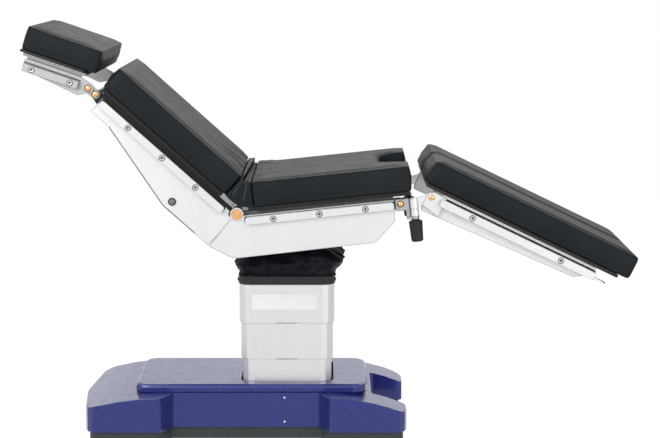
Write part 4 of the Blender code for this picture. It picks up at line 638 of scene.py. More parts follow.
def rounded(corners: Sequence[Point3], steps: int = 6) -> list[Point2]:
    """Return an outline from (x, y, radius) corners, each rounded by an arc.

    Args:
        corners: Corners in order round the outline.
        steps: Pieces in each arc.

    Returns:
        The outline's points.
    """
    points: list[Point2] = []
    count = len(corners)
    for i, (x, y, radius) in enumerate(corners):
        here = Vector((x, y))
        if radius <= 0:
            points.append((x, y))
            continue
        before = (Vector(corners[i - 1][:2]) - here).normalized()
        after = (Vector(corners[(i + 1) % count][:2]) - here).normalized()
        half = before.angle(after) / 2
        reach = radius / math.tan(half)
        centre = here + (before + after).normalized() * (radius / math.sin(half))
        first = here + before * reach - centre
        sweep = first.angle_signed(here + after * reach - centre)
        for step in range(steps + 1):
            spoke = Matrix.Rotation(-sweep * step / steps, 2) @ first
            points.append(tuple(centre + spoke))
    return points


def rounded_box(low: Point2, high: Point2, corner: float, steps: int = 6) -> list[Point2]:
    """Return the outline of a rectangle with rounded corners.

    Args:
        low: Its lowest corner.
        high: Its highest corner.
        corner: The corners' radius.
        steps: Pieces in each arc.

    Returns:
        The outline's points.
    """
    (left, bottom), (right, top) = low, high
    return rounded([(left, bottom, corner), (right, bottom, corner), (right, top, corner), (left, top, corner)], steps)


def circle(middle: Point2, radius: float, sides: int) -> list[Point2]:
    """Return the points of a circle."""
    turns = [2 * math.pi * k / sides for k in range(sides)]
    return [(middle[0] + radius * math.cos(turn), middle[1] + radius * math.sin(turn)) for turn in turns]


def drawn_in(outline: Iterable[Point2], middle: Point2, distance: float) -> list[Point2]:
    """Return an outline with each point moved towards a middle.

    Args:
        outline: The outline's points.
        middle: The point that they move towards.
        distance: How far each one moves.

    Returns:
        The moved points.
    """
    moved = []
    for x, y in outline:
        inward = (Vector(middle) - Vector((x, y))).normalized() * distance
        moved.append((x + inward.x, y + inward.y))
    return moved


def stacked(rings: Sequence[Sequence[Vector]], name: str, ends: Ends = Ends.CAPPED,
            weld: float = 0.00002) -> bpy.types.Mesh:
    """Return a mesh through rings of equal counts.

    Args:
        rings: The rings, each a closed loop.
        name: The mesh's name.
        ends: Whether the first and last ring get flat faces, are joined to each other, or stay open.
        weld: Points nearer than this become one.

    Returns:
        The mesh.
    """
    work = bmesh.new()
    rows = [[work.verts.new(point) for point in ring] for ring in rings]
    count = len(rows[0])
    pairs = list(zip(rows, rows[1:]))
    if ends is Ends.JOINED:
        pairs.append((rows[-1], rows[0]))
    for lower, upper in pairs:
        for i in range(count):
            j = (i + 1) % count
            work.faces.new((lower[i], lower[j], upper[j], upper[i]))
    if ends is Ends.CAPPED:
        work.faces.new(list(reversed(rows[0])))
        work.faces.new(rows[-1])
    return mesh_from(work, name, weld)


def tube(path: Sequence[Vector], radius: float, name: str, sides: int, closed: bool = True) -> bpy.types.Mesh:
    """Return a round tube along a path.

    Args:
        path: Points that the tube's middle follows.
        radius: The tube's radius.
        name: The mesh's name.
        sides: Sides of its section.
        closed: True where the path's end meets its start.

    Returns:
        The mesh.
    """
    rings = []
    count = len(path)
    side = None
    for i, point in enumerate(path):
        before = path[i - 1] if closed or i else path[0]
        after = path[(i + 1) % count] if closed or i < count - 1 else path[-1]
        along = (after - before).normalized()
        if side is None:
            side = along.orthogonal().normalized()
        side = (side - along * side.dot(along)).normalized()
        third = along.cross(side)
        rings.append([
            point + (side * math.cos(2 * math.pi * k / sides) + third * math.sin(2 * math.pi * k / sides)) * radius
            for k in range(sides)])
    return stacked(rings, name, Ends.JOINED if closed else Ends.CAPPED)


# --------------------------------------------------------------------------- studio


@dataclass(frozen=True)
class Lamp:
    """A soft square lamp that faces the table: its power in watts and its size in metres."""

    name: str
    place: Point3
    power: float
    size: float = 3.0
    aim: Point3 = (-0.1, 0.0, 0.75)

    def build(self, scene: bpy.types.Scene) -> None:
        """Hang the lamp.

        Args:
            scene: The scene that it lights.
        """
        light = bpy.data.lights.new(self.name, "AREA")
        light.size = self.size
        light.energy = self.power
        lamp = bpy.data.objects.new(self.name, light)
        lamp.location = self.place
        lamp.rotation_euler = (Vector(self.aim) - Vector(self.place)).to_track_quat("-Z", "Y").to_euler()
        scene.collection.objects.link(lamp)


@dataclass(frozen=True)
class Studio:
    """Camera, floor, lamps and world.

    Args:
        camera_place: The camera's place.
        camera_turn: Its turn in radians.
        lens: Its focal length in millimetres.
        sensor: Its sensor's width in millimetres.
        floor_size: The floor's side.
        floor_colour: The floor's own colour.
        floor_rough: The floor's roughness.
        floor_veil: The share of white that covers the floor where it is seen.
        floor_glow: How bright that white is.
        sky_colour: The world's colour as a light.
        sky_strength: Its strength.
        lamps: The lamps.
    """

    camera_place: Point3 = (-0.010, -5.58155, 1.580)
    camera_turn: Point3 = (1.414894, 0.0, 0.0)
    lens: float = 93.505
    sensor: float = 36.0
    floor_size: float = 60.0
    floor_colour: Point3 = (0.88, 0.88, 0.88)
    floor_rough: float = 0.8
    floor_veil: float = 0.94
    floor_glow: float = 1.06
    sky_colour: Point3 = (0.95, 0.97, 1.0)
    sky_strength: float = 0.40
    lamps: tuple[Lamp, ...] = (
        Lamp("key_lamp", (-2.6, -4.6, 3.0), 150.0), Lamp("fill_lamp", (3.0, -5.0, 1.6), 62.0),
        Lamp("back_lamp", (0.4, 3.4, 3.6), 40.0))

    def build(self) -> None:
        """Make everything that isn't the object."""
        scene = bpy.context.scene
        scene.view_settings.view_transform = "Standard"
        self.camera(scene)
        self.floor(scene)
        self.world(scene)
        for lamp in self.lamps:
            lamp.build(scene)

    def camera(self, scene: bpy.types.Scene) -> None:
        """Place the camera as the photograph was taken.

        Args:
            scene: The scene that it looks at.
        """
        lens = bpy.data.cameras.new("camera")
        lens.lens = self.lens
        lens.sensor_width = self.sensor
        lens.clip_end = 200.0
        camera = bpy.data.objects.new("camera", lens)
        camera.location = self.camera_place
        camera.rotation_euler = self.camera_turn
        scene.collection.objects.link(camera)
        scene.camera = camera

    def floor(self, scene: bpy.types.Scene) -> None:
        """Lay a pale floor under the table.

        Args:
            scene: The scene that it is laid in.
        """
        work = bmesh.new()
        bmesh.ops.create_grid(work, x_segments=1, y_segments=1, size=self.floor_size / 2)
        mesh = bpy.data.meshes.new("floor")
        work.to_mesh(mesh)
        work.free()
        mesh.materials.append(self.floor_material())
        floor = bpy.data.objects.new("floor", mesh)
        scene.collection.objects.link(floor)

    def floor_material(self) -> bpy.types.Material:
        """Return the floor's material: it shows near white to the camera and keeps the shadow."""
        material = bpy.data.materials.new("floor_pale")
        material.use_nodes = True
        tree = material.node_tree
        surface = tree.nodes["Principled BSDF"]
        surface.inputs["Base Color"].default_value = (*self.floor_colour, 1.0)
        surface.inputs["Roughness"].default_value = self.floor_rough
        glow = tree.nodes.new("ShaderNodeEmission")
        glow.inputs["Color"].default_value = (1.0, 1.0, 1.0, 1.0)
        glow.inputs["Strength"].default_value = self.floor_glow
        share = tree.nodes.new("ShaderNodeMath")
        share.operation = "MULTIPLY"
        share.inputs[1].default_value = self.floor_veil
        tree.links.new(self.seen_rays(tree), share.inputs[0])
        mixed = self.mix(tree, share.outputs[0], surface.outputs[0], glow.outputs[0])
        tree.links.new(mixed, tree.nodes["Material Output"].inputs["Surface"])
        return material

    @staticmethod
    def mix(tree: bpy.types.NodeTree, share: Socket, first: Socket, second: Socket) -> Socket:
        """Mix two shaders.

        Args:
            tree: The node tree.
            share: The second one's share, from 0 to 1.
            first: The first shader.
            second: The second shader.

        Returns:
            The mixed shader's socket.
        """
        node = tree.nodes.new("ShaderNodeMixShader")
        for place, socket in enumerate((share, first, second)):
            tree.links.new(socket, node.inputs[place])
        return node.outputs[0]

    @staticmethod
    def seen_rays(tree: bpy.types.NodeTree) -> Socket:
        """Return 1 for rays from the camera, from gloss and through glass.

        Args:
            tree: The node tree.

        Returns:
            The value's socket.
        """
        path = tree.nodes.new("ShaderNodeLightPath")
        total = path.outputs["Is Camera Ray"]
        for name in ("Is Glossy Ray", "Is Transmission Ray"):
            plus = tree.nodes.new("ShaderNodeMath")
            plus.operation = "ADD"
            plus.use_clamp = True
            tree.links.new(total, plus.inputs[0])
            tree.links.new(path.outputs[name], plus.inputs[1])
            total = plus.outputs[0]
        return total

    def world(self, scene: bpy.types.Scene) -> None:
        """Light the scene evenly, and show white where nothing stands.

        Args:
            scene: The scene that gets the world.
        """
        world = bpy.data.worlds.new("studio")
        scene.world = world
        world.use_nodes = True
        tree = world.node_tree
        light = tree.nodes["Background"]
        light.inputs["Color"].default_value = (*self.sky_colour, 1.0)
        light.inputs["Strength"].default_value = self.sky_strength
        white = tree.nodes.new("ShaderNodeBackground")
        white.inputs["Color"].default_value = (1.0, 1.0, 1.0, 1.0)
        mixed = self.mix(tree, self.seen_rays(tree), light.outputs[0], white.outputs[0])
        tree.links.new(mixed, tree.nodes["World Output"].inputs["Surface"])


# --------------------------------------------------------------------------- fasteners


class Head(Enum):
    """Kinds of screw head."""

    SOCKET = "socket"
    HOLE = "hole"
    RING = "ring"
    BUTTON = "button"


# Each head as (radius, height, hexagonal) from its seat outwards, in radii of the screw.
HEAD_PROFILES: dict[Head, tuple[tuple[float, float, bool], ...]] = {
    Head.SOCKET: ((1.0, -0.05, False), (1.0, 0.14, False), (0.92, 0.22, False), (0.52, 0.22, False),
                  (0.46, 0.19, True), (0.44, 0.02, True)),
    Head.HOLE: ((0.50, 0.00, True), (0.45, 0.18, True), (0.40, 0.205, True), (0.10, 0.21, True)),
    Head.RING: ((1.28, -0.04, False), (1.28, 0.03, False), (1.22, 0.06, False), (0.90, 0.06, False)),
    Head.BUTTON: ((1.0, -0.2, False), (1.0, 0.12, False), (0.86, 0.30, False), (0.60, 0.42, False),
                  (0.25, 0.48, False)),
}


@dataclass(frozen=True)
class Screw:
    """One screw: where it sits, which way it faces, and its radius."""

    place: Vector
    facing: Vector
    radius: float


@dataclass
class Fasteners:
    """Screw heads, set out by a node tree on a plain mesh of points."""

    sides: int = 24
    templates: dict[Head, bpy.types.Object] = field(default_factory=dict)
    tree: bpy.types.NodeTree | None = None

    def template(self, head: Head) -> bpy.types.Object:
        """Return the unit-radius head that a kind of screw is copied from, built once.

        Args:
            head: The kind of head.

        Returns:
            The head, which is linked to no scene.
        """
        if head in self.templates:
            return self.templates[head]
        sixth = math.pi / 3
        rings = []
        for radius, height, hexagonal in HEAD_PROFILES[head]:
            ring = []
            for k in range(self.sides):
                turn = 2 * math.pi * k / self.sides
                reach = radius * math.cos(sixth / 2) / math.cos(turn % sixth - sixth / 2) if hexagonal else radius
                ring.append(Vector((reach * math.cos(turn), reach * math.sin(turn), height)))
            rings.append(ring)
        mesh = stacked(rings, f"{head.value}_head")
        mesh.shade_smooth()
        mesh.set_sharp_from_angle(angle=math.radians(CRISP))
        template = bpy.data.objects.new(f"{head.value}_head", mesh)
        self.templates[head] = template
        return template

    def node_tree(self) -> bpy.types.NodeTree:
        """Return the node tree that copies a head to every point, built once."""
        if self.tree:
            return self.tree
        tree = bpy.data.node_groups.new("screw_heads", "GeometryNodeTree")
        face = tree.interface
        face.new_socket("Geometry", in_out="INPUT", socket_type="NodeSocketGeometry")
        face.new_socket("Head", in_out="INPUT", socket_type="NodeSocketObject")
        face.new_socket("Finish", in_out="INPUT", socket_type="NodeSocketMaterial")
        face.new_socket("Geometry", in_out="OUTPUT", socket_type="NodeSocketGeometry")
        new, link = tree.nodes.new, tree.links.new
        start, end = new("NodeGroupInput"), new("NodeGroupOutput")
        info = new("GeometryNodeObjectInfo")
        facing, radius = new("GeometryNodeInputNamedAttribute"), new("GeometryNodeInputNamedAttribute")
        facing.data_type = "FLOAT_VECTOR"
        facing.inputs["Name"].default_value = "facing"
        radius.data_type = "FLOAT"
        radius.inputs["Name"].default_value = "radius"
        turn = new("FunctionNodeAlignRotationToVector")
        turn.axis = "Z"
        copies = new("GeometryNodeInstanceOnPoints")
        real, dress = new("GeometryNodeRealizeInstances"), new("GeometryNodeSetMaterial")
        link(start.outputs["Head"], info.inputs["Object"])
        link(facing.outputs["Attribute"], turn.inputs["Vector"])
        link(start.outputs["Geometry"], copies.inputs["Points"])
        link(info.outputs["Geometry"], copies.inputs["Instance"])
        link(turn.outputs["Rotation"], copies.inputs["Rotation"])
        link(radius.outputs["Attribute"], copies.inputs["Scale"])
        link(copies.outputs["Instances"], real.inputs["Geometry"])
        link(real.outputs["Geometry"], dress.inputs["Geometry"])
        link(start.outputs["Finish"], dress.inputs["Material"])
        link(dress.outputs["Geometry"], end.inputs["Geometry"])
        self.tree = tree
        return tree

    def clear(self) -> None:
        """Remove the heads that the screws were copied from."""
        for template in self.templates.values():
            bpy.data.objects.remove(template, do_unlink=True)
        self.templates.clear()

    def fit(self, name: str, body: str, screws: Sequence[Screw], head: Head, look: Finish) -> bpy.types.Object:
        """Make one piece of all the screws of a kind on a body.

        Args:
            name: The piece's name.
            body: The CAD body that the screws move with.
            screws: The screws.
            head: The kind of head.
            look: Their finish.

        Returns:
            The piece.
        """
        mesh = bpy.data.meshes.new(name)
        mesh.from_pydata([screw.place for screw in screws], [], [])
        mesh.attributes.new("facing", "FLOAT_VECTOR", "POINT")
        mesh.attributes.new("radius", "FLOAT", "POINT")
        for i, screw in enumerate(screws):
            mesh.attributes["facing"].data[i].vector = screw.facing
            mesh.attributes["radius"].data[i].value = screw.radius
        holder = bpy.data.objects.new(name, mesh)
        bpy.context.scene.collection.objects.link(holder)
        modifier = holder.modifiers.new("screws", "NODES")
        modifier.node_group = self.node_tree()
        names = {item.name: item.identifier for item in modifier.node_group.interface.items_tree
                 if item.in_out == "INPUT"}
        modifier[names["Head"]] = self.template(head)
        modifier[names["Finish"]] = look.shade()
        made = applied(holder)
        bpy.data.objects.remove(holder, do_unlink=True)
        return riding(name, made, look, body)


# --------------------------------------------------------------------------- base


def paint(look: Finish, *nodes: str) -> None:
    """Give CAD nodes a finish.

    Args:
        look: The finish.
        *nodes: The nodes' names.
    """
    for node in nodes:
        for place in FRAME["nodes"][node].material_slots:
            place.material = look.shade()


@dataclass
class Base:
    """Moulded base: cover, skirt, access panel and what stands inside."""

    panel_screw_x: float = -0.157
    panel_screws_z: tuple[float, float] = (0.150, 0.070)
    panel_screw_radius: float = 0.0035
    side_y: float = -0.200

    def dress(self) -> None:
        """Give the base's CAD pieces their finishes."""
        paint(BLUE_LACQUER, "base_cover_head", "base_cover_foot", "access_panel")
        paint(SKIRT_GREY, "base_skirt")
        paint(DARK_STEEL, "chassis_frame")
        paint(CAST_METAL, "power_pack")
        for end in ("head", "foot"):
            for hand in Hand:
                paint(BRUSHED_STEEL, f"castor_fork_{end}_{hand.word}")
                paint(TYRE_GREY, f"castor_wheel_{end}_{hand.word}")
                paint(DARK_STEEL, f"floor_lock_{end}_{hand.word}")

    def build(self, fasteners: Fasteners) -> None:
        """Add the access panel's screws.

        Args:
            fasteners: What makes the screws.
        """
        outward = Vector((0, -1, 0))
        screws = [Screw(Vector((self.panel_screw_x, self.side_y, z)), outward, self.panel_screw_radius)
                  for z in self.panel_screws_z]
        fasteners.fit("access_panel_screws", "base", screws, Head.BUTTON, BRIGHT_STEEL)


# --------------------------------------------------------------------------- column


@dataclass(frozen=True)
class PullSlot:
    """The dark lines at the middle of a shell's lower edge, painted shade of its pull slots: the shell's body, half
    width and lower end.
    """

    body: str
    half: float
    bottom: float


@dataclass
class Column:
    """Telescoping shells with their plate, pull slots and clamp band.

    Args:
        middle_x: World X of the column's axis.
        upper_half: Half the upper shell's width.
        plate_low: The plate's lowest corner, as X and Z.
        plate_high: The plate's highest corner.
        plate_corner: Radius of its corners.
        plate_bevel: How far its face is drawn in from its edge.
        plate_thickness: Its thickness.
        band_top: Upper end of the clamp band.
        band_bottom: Lower end of the clamp band.
        band_proud: How far the band stands out from the shell.
        screw_places: Places of the band's screws along each side.
        screw_radius: Their radius.
        slots: The pull slots, drawn as black boxes of painted shade.
        slot_half: Half the length of a slot.
        slot_depths: How far its two faces stand out from the shell, the deeper one first.
        slot_heights: Heights of its lower and upper edge above the shell's lower end.
    """

    middle_x: float = -0.150
    upper_half: float = 0.1540
    plate_low: Point2 = (-0.262, 0.4305)
    plate_high: Point2 = (-0.052, 0.4805)
    plate_corner: float = 0.002
    plate_bevel: float = 0.0004
    plate_thickness: float = 0.0008
    band_top: float = 0.539
    band_bottom: float = 0.5123
    band_proud: float = 0.003
    screw_places: tuple[float, ...] = (-0.118, -0.039, 0.039, 0.118)
    screw_radius: float = 0.0058
    slots: tuple[PullSlot, ...] = (PullSlot("column_top", 0.1540, 0.3850), PullSlot("middle_stage", 0.1495, 0.2650))
    slot_half: float = 0.034
    slot_depths: Point2 = (-0.0008, 0.0003)
    slot_heights: Point2 = (0.0004, 0.0020)

    def dress(self) -> None:
        """Give the column's CAD pieces their finishes."""
        paint(COLUMN_METAL, "column_lower_shell", "column_middle_shell", "column_upper_shell")
        paint(BLACK_PLASTIC, "boot_clamp_band")
        paint(CAST_METAL, "column_head", "tilt_cross")
        paint(DARK_STEEL, "slide_carriage", "lift_cylinder")
        paint(BRUSHED_STEEL, "lift_stage", "lift_ram")

    def build(self, fasteners: Fasteners) -> None:
        """Add plate, slots and screws.

        Args:
            fasteners: What makes the screws.
        """
        self.plate()
        for slot in self.slots:
            self.pull_slots(slot)
        self.band_screws(fasteners)

    @staticmethod
    def quarters() -> list[Matrix]:
        """Return the turns from the near face to each of the four faces."""
        return [Matrix.Rotation(math.pi / 2 * quarter, 3, "Z") for quarter in range(4)]

    def plate(self) -> None:
        """Fix the bare white plate on the near face."""
        low, high = self.plate_low, self.plate_high
        outline = rounded_box(low, high, self.plate_corner)
        middle = ((low[0] + high[0]) / 2, (low[1] + high[1]) / 2)
        rings = []
        for rise, inset in ((0.0, 0.0), (self.plate_thickness * 0.6, 0.0), (self.plate_thickness, self.plate_bevel)):
            rings.append([Vector((x, -self.upper_half - rise, z)) for x, z in drawn_in(outline, middle, inset)])
        piece = riding("label_plate", stacked(rings, "label_plate"), WHITE_PLATE, "column_top", MOULDED_EDGE)

    def pull_slots(self, slot: PullSlot) -> None:
        """Lay black boxes at the middle of a shell's lower edge, on all four faces: painted shade of the pull slots.

        Args:
            slot: The shell's slots.
        """
        work = bmesh.new()
        for turn in self.quarters():
            corners = []
            for across in (-self.slot_half, self.slot_half):
                for out in self.slot_depths:
                    for rise in self.slot_heights:
                        spot = turn @ Vector((across, -slot.half - out, 0))
                        corners.append(work.verts.new((self.middle_x + spot.x, spot.y, slot.bottom + rise)))
            bmesh.ops.convex_hull(work, input=corners)
        # Black boxes: painted shade of the slots.
        riding(f"pull_slots_{slot.body}", mesh_from(work, "slots"), BLACK_PLASTIC, slot.body, MOULDED_EDGE)

    def band_screws(self, fasteners: Fasteners) -> None:
        """Set the screws on each side of the clamp band.

        Args:
            fasteners: What makes the screws.
        """
        half = self.upper_half + self.band_proud
        height = (self.band_bottom + self.band_top) / 2 - 0.001
        screws = []
        for turn in self.quarters():
            outward = turn @ Vector((0, -1, 0))
            for across in self.screw_places:
                spot = turn @ Vector((across, -half, 0))
                screws.append(Screw(Vector((self.middle_x + spot.x, spot.y, height)), outward, self.screw_radius))
        fasteners.fit("band_screws", "column_top", screws, Head.BUTTON, BLACK_PLASTIC)


@dataclass(frozen=True)
class BootPlace:
    """A place on the boot's outline: its spot, the way out, and the distance along its face."""

    spot: Vector
    outward: Vector
    along: float


@dataclass
class Boot:
    """Gathered cloth boot between the column and the tilting top: it bellies out most at the foot side.

    Args:
        middle_x: World X of the column's axis.
        half: Half the outline's width.
        roundness: Radius of the outline's corners.
        tuck_z: Where the cloth ends inside the clamp band.
        tuck_rows: Rows of faces inside the band.
        rim_z: Where it comes out of the band.
        top_z: Where it meets the top at the head side.
        top_slope: Slope of the top's underside in degrees.
        belly_foot: How far it stands out at the foot side.
        belly_head: How far it stands out at the head side.
        belly_side: How far it stands out at the near and far sides.
        belly_at: Share of the height at which it stands out most.
        draw_in: How far it is drawn in at the top.
        draw_in_foot: How far it is drawn in at the top of the foot side.
        rows: Rows of faces from rim to top.
        around: Faces in a row.
        pleat: Height of the pleats.
        crumple: Height of the crumples.
        sway: How far slow waves lift or lower the cloth.
        gather_points: Places along each face from which the pleats fan out.
        gather_width: How wide a fan is.
        fan: How close its pleats stand: divided by pi, their number in a radian.
        thickness: The cloth's thickness.
        cut_size: Not used.
    """

    middle_x: float = -0.150
    half: float = 0.1485
    roundness: float = 0.040
    tuck_z: float = 0.5150
    tuck_rows: int = 3
    rim_z: float = 0.5405
    top_z: float = 0.6040
    top_slope: float = 6.0
    belly_foot: float = 0.036
    belly_head: float = 0.018
    belly_side: float = 0.022
    belly_at: float = 0.50
    draw_in: float = 0.014
    draw_in_foot: float = 0.044
    rows: int = 30
    around: int = 288
    pleat: float = 0.0070
    crumple: float = 0.0080
    sway: float = 0.006
    gather_points: tuple[float, ...] = (-0.062, 0.062)
    gather_width: float = 0.052
    fan: float = 3.6
    thickness: float = 0.0012
    cut_size: Point2 = (1.36, 0.155)

    def top_at(self, x: float) -> float:
        """Return the height at which the cloth meets the top's underside."""
        return self.top_z + (x - self.middle_x + self.half) * math.tan(math.radians(self.top_slope))

    def plan(self) -> list[BootPlace]:
        """Return even places round the column."""
        flat = self.half - self.roundness
        outline = rounded_box((-self.half, -self.half), (self.half, self.half), self.roundness, 12)
        ends = outline[1:] + outline[:1]
        lengths = [(Vector(after) - Vector(here)).length for here, after in zip(outline, ends)]
        step = sum(lengths) / self.around
        places: list[BootPlace] = []
        run = 0.0
        for here, after, length in zip(outline, ends, lengths):
            while run < length and len(places) < self.around:
                spot = Vector(here).lerp(Vector(after), run / length)
                outward = spot - Vector((max(-flat, min(flat, spot.x)), max(-flat, min(flat, spot.y))))
                outward = outward.normalized() if outward.length > 1e-6 else spot.normalized()
                along = spot.x if abs(outward.y) > abs(outward.x) else spot.y
                places.append(BootPlace(spot, outward, along))
                run += step
            run -= length
        return places

    def fold(self, along: float, rise: float) -> float:
        """Return the pleats' height: creases that fan out and up from the gathering points at the rim.

        Args:
            along: Distance along the face from its middle.
            rise: Height above the rim.

        Returns:
            The height, in pleats.
        """
        total = 0.0
        for point in self.gather_points:
            offset = along - point
            angle = math.atan2(offset, rise + 0.006)
            near = math.exp(-(offset / self.gather_width) ** 2)
            total += near * (1 - 2 * abs(math.sin(angle * self.fan)) ** 0.8)
        return total

    def belly(self, outward: Vector, share: float) -> float:
        """Return how far the cloth stands out from its rim.

        Args:
            outward: The way out at this place.
            share: The share of the height from rim to top.

        Returns:
            The distance.
        """
        reach = outward.y ** 2 * self.belly_side
        reach += outward.x ** 2 * (self.belly_foot if outward.x > 0 else self.belly_head)
        full = min(1.0, share / self.belly_at) ** 0.9
        close = max(0.0, (share - self.belly_at) / (1 - self.belly_at)) ** 1.1
        draw = self.draw_in + (self.draw_in_foot - self.draw_in) * max(0.0, outward.x) ** 2
        return reach * full * (1 - close) - draw * close

    def crumpled(self, spot: Vector, height: float) -> float:
        """Return the crumples' height, ridged and in two sizes.

        Args:
            spot: Place on the outline.
            height: Height of the place.

        Returns:
            The height.
        """
        cell = Vector((spot.x * 17 + height * 9, spot.y * 17, height * 24))
        return sum((0.35 - 2 * abs(noise.noise(cell * finer))) * self.crumple * share
                   for finer, share in ((1.0, 1.0), (1.9, 0.35)))

    def point(self, place: BootPlace, row: int) -> Vector:
        """Return a point of the cloth.

        Args:
            place: Where it is on the outline.
            row: Which row it is in; rows below 0 are inside the band.

        Returns:
            The point.
        """
        spot, outward = place.spot, place.outward
        share = max(0.0, row / self.rows)
        free = self.top_at(self.middle_x + spot.x) - self.rim_z
        if row < 0:
            height = self.tuck_z + (self.rim_z - self.tuck_z) * (row + self.tuck_rows) / self.tuck_rows
        else:
            height = self.rim_z + free * share
        loose = math.sin(math.pi * min(share * 1.15, 1.0)) ** 0.6 if share > 0 else 0.0
        push = self.belly(outward, share)
        push += (self.fold(place.along, share * free) * self.pleat + self.crumpled(spot, height)) * loose
        drop = noise.noise(Vector((spot.x * 13, spot.y * 13, 4.0))) * self.sway * loose
        return Vector((self.middle_x + spot.x + outward.x * push, spot.y + outward.y * push, height - drop))

    def build(self) -> None:
        """Make the boot in place of the CAD boot."""
        places = self.plan()
        rings = [[self.point(place, row) for place in places] for row in range(-self.tuck_rows, self.rows + 1)]
        name = "column_boot_cloth"
        piece = object_from(name, stacked(rings, name, Ends.OPEN, 0.0), BOOT_CLOTH, ALL_SMOOTH)
        shell = piece.modifiers.new("cloth_thickness", "SOLIDIFY")
        shell.thickness = self.thickness
        shell.offset = 0
        settle(piece)
        piece.data.shade_smooth()
        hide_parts("column_boot")
        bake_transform(piece)


# --------------------------------------------------------------------------- metal of the top


@dataclass(frozen=True)
class RailBar:
    """An accessory rail with rounded ends, standing on a spacer at each bolt.

    Args:
        node: The CAD node that it stands for.
        body: The CAD body that it rides on.
        section: Where its section is.
        start: Its start along the section.
        end: Its end along the section.
        height: Its middle above the section.
        bolts: Places of its bolts along the section.
        panel_face: Outer face of the panel behind it, from the table's middle.
        hand: Its side of the table.
        half: Half its height.
        inner: Its inner face, from the table's middle.
        outer: Its outer face, from the table's middle.
        corner: Radius of its ends' corners.
        chamfer: Width of the chamfer round its faces.
        spacer: Radius of the spacers.
        seal: How far the dark strip behind it, the painted shadow of the gap, shows round it.
    """

    node: str
    body: str
    section: Section
    start: float
    end: float
    height: float
    bolts: tuple[float, ...]
    panel_face: float
    hand: Hand
    half: float = 0.0125
    inner: float = 0.2752
    outer: float = 0.2850
    corner: float = 0.009
    chamfer: float = 0.0010
    spacer: float = 0.0083
    seal: float = 0.0032

    def layer(self, outline: Iterable[Point2], across: float) -> list[Vector]:
        """Return an outline as a ring at a distance from the table's middle, on the rail's side."""
        return self.section.layer(outline, self.hand.value * across)

    def ring(self, outline: Sequence[Point2], inset: float, across: float) -> list[Vector]:
        """Return the bar's outline, inset and set at a distance across the table.

        Args:
            outline: The bar's outline.
            inset: How far it is drawn in at its ends and edges.
            across: Its distance from the table's middle.

        Returns:
            The ring's points.
        """
        middle_x, middle_z = (self.start + self.end) / 2, self.height
        half_x = (self.end - self.start) / 2
        grow_x, grow_z = (half_x - inset) / half_x, (self.half - inset) / self.half
        return self.layer([(middle_x + (x - middle_x) * grow_x, middle_z + (z - middle_z) * grow_z)
                           for x, z in outline], across)

    def gap_seal(self) -> None:
        """Lay the dark strip on the panel that shows round the rail's top and ends: the painted shadow of the gap
        behind the rail.
        """
        low, high = self.height - self.half + 0.002, self.height + self.half + self.seal
        left, right = self.start - self.seal, self.end + self.seal
        corner = self.corner + self.seal
        outline = rounded([(left, low, self.corner), (right, low, self.corner), (right, high, corner),
                           (left, high, corner)])
        rings = [self.layer(outline, self.panel_face + proud) for proud in (0.0001, 0.0007)]
        name = f"{self.node}_seal"
        # A dark strip on the panel: painted shadow of the gap behind the rail.
        riding(name, stacked(rings, name), SHADOW_BLACK, self.body)

    def build(self) -> None:
        """Make the rail in place of its plain CAD bar."""
        outline = rounded_box((self.start, self.height - self.half), (self.end, self.height + self.half),
                              self.corner, 8)
        levels = [(self.chamfer, self.inner), (0.0, self.inner + self.chamfer), (0.0, self.outer - self.chamfer),
                  (self.chamfer, self.outer)]
        work = bmesh.new()
        work.from_mesh(stacked([self.ring(outline, *level) for level in levels], "bar"))
        for place in self.bolts:
            round_spacer = circle((place, self.height), self.spacer, 20)
            rings = [self.layer(round_spacer, across) for across in (self.panel_face + 0.0003, self.inner + 0.0004)]
            work.from_mesh(stacked(rings, "spacer"))
        self.gap_seal()
        name = f"{self.node}_bar"
        piece = riding(name, mesh_from(work, name), BRUSHED_STEEL, self.body)
        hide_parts(self.node)


@dataclass(frozen=True)
class Strip:
    """A thin slab along one side of the top: a lip, a board's edge or a shadow gap.

    Args:
        name: The piece's name, without its side.
        body: The CAD body that it rides on.
        section: Where its section is.
        start: Its start along the section.
        end: Its end along the section.
        low: Its lower edge above the section.
        high: Its upper edge above the section.
        inner: Its face nearer the table's middle.
        outer: Its outer face.
        look: Its finish.
    """

    name: str
    body: str
    section: Section
    start: float
    end: float
    low: float
    high: float
    inner: float
    outer: float
    look: Finish

    def build(self, hand: Hand) -> None:
        """Make the slab on one side.

        Args:
            hand: The side of the table.
        """
        corner = min(self.high - self.low, self.end - self.start) * 0.3
        outline = rounded_box((self.start, self.low), (self.end, self.high), corner, 3)
        rings = [self.section.layer(outline, hand.value * across) for across in (self.inner, self.outer)]
        name = f"{self.name}_{hand.word}"
        riding(name, stacked(rings, name), self.look, self.body)


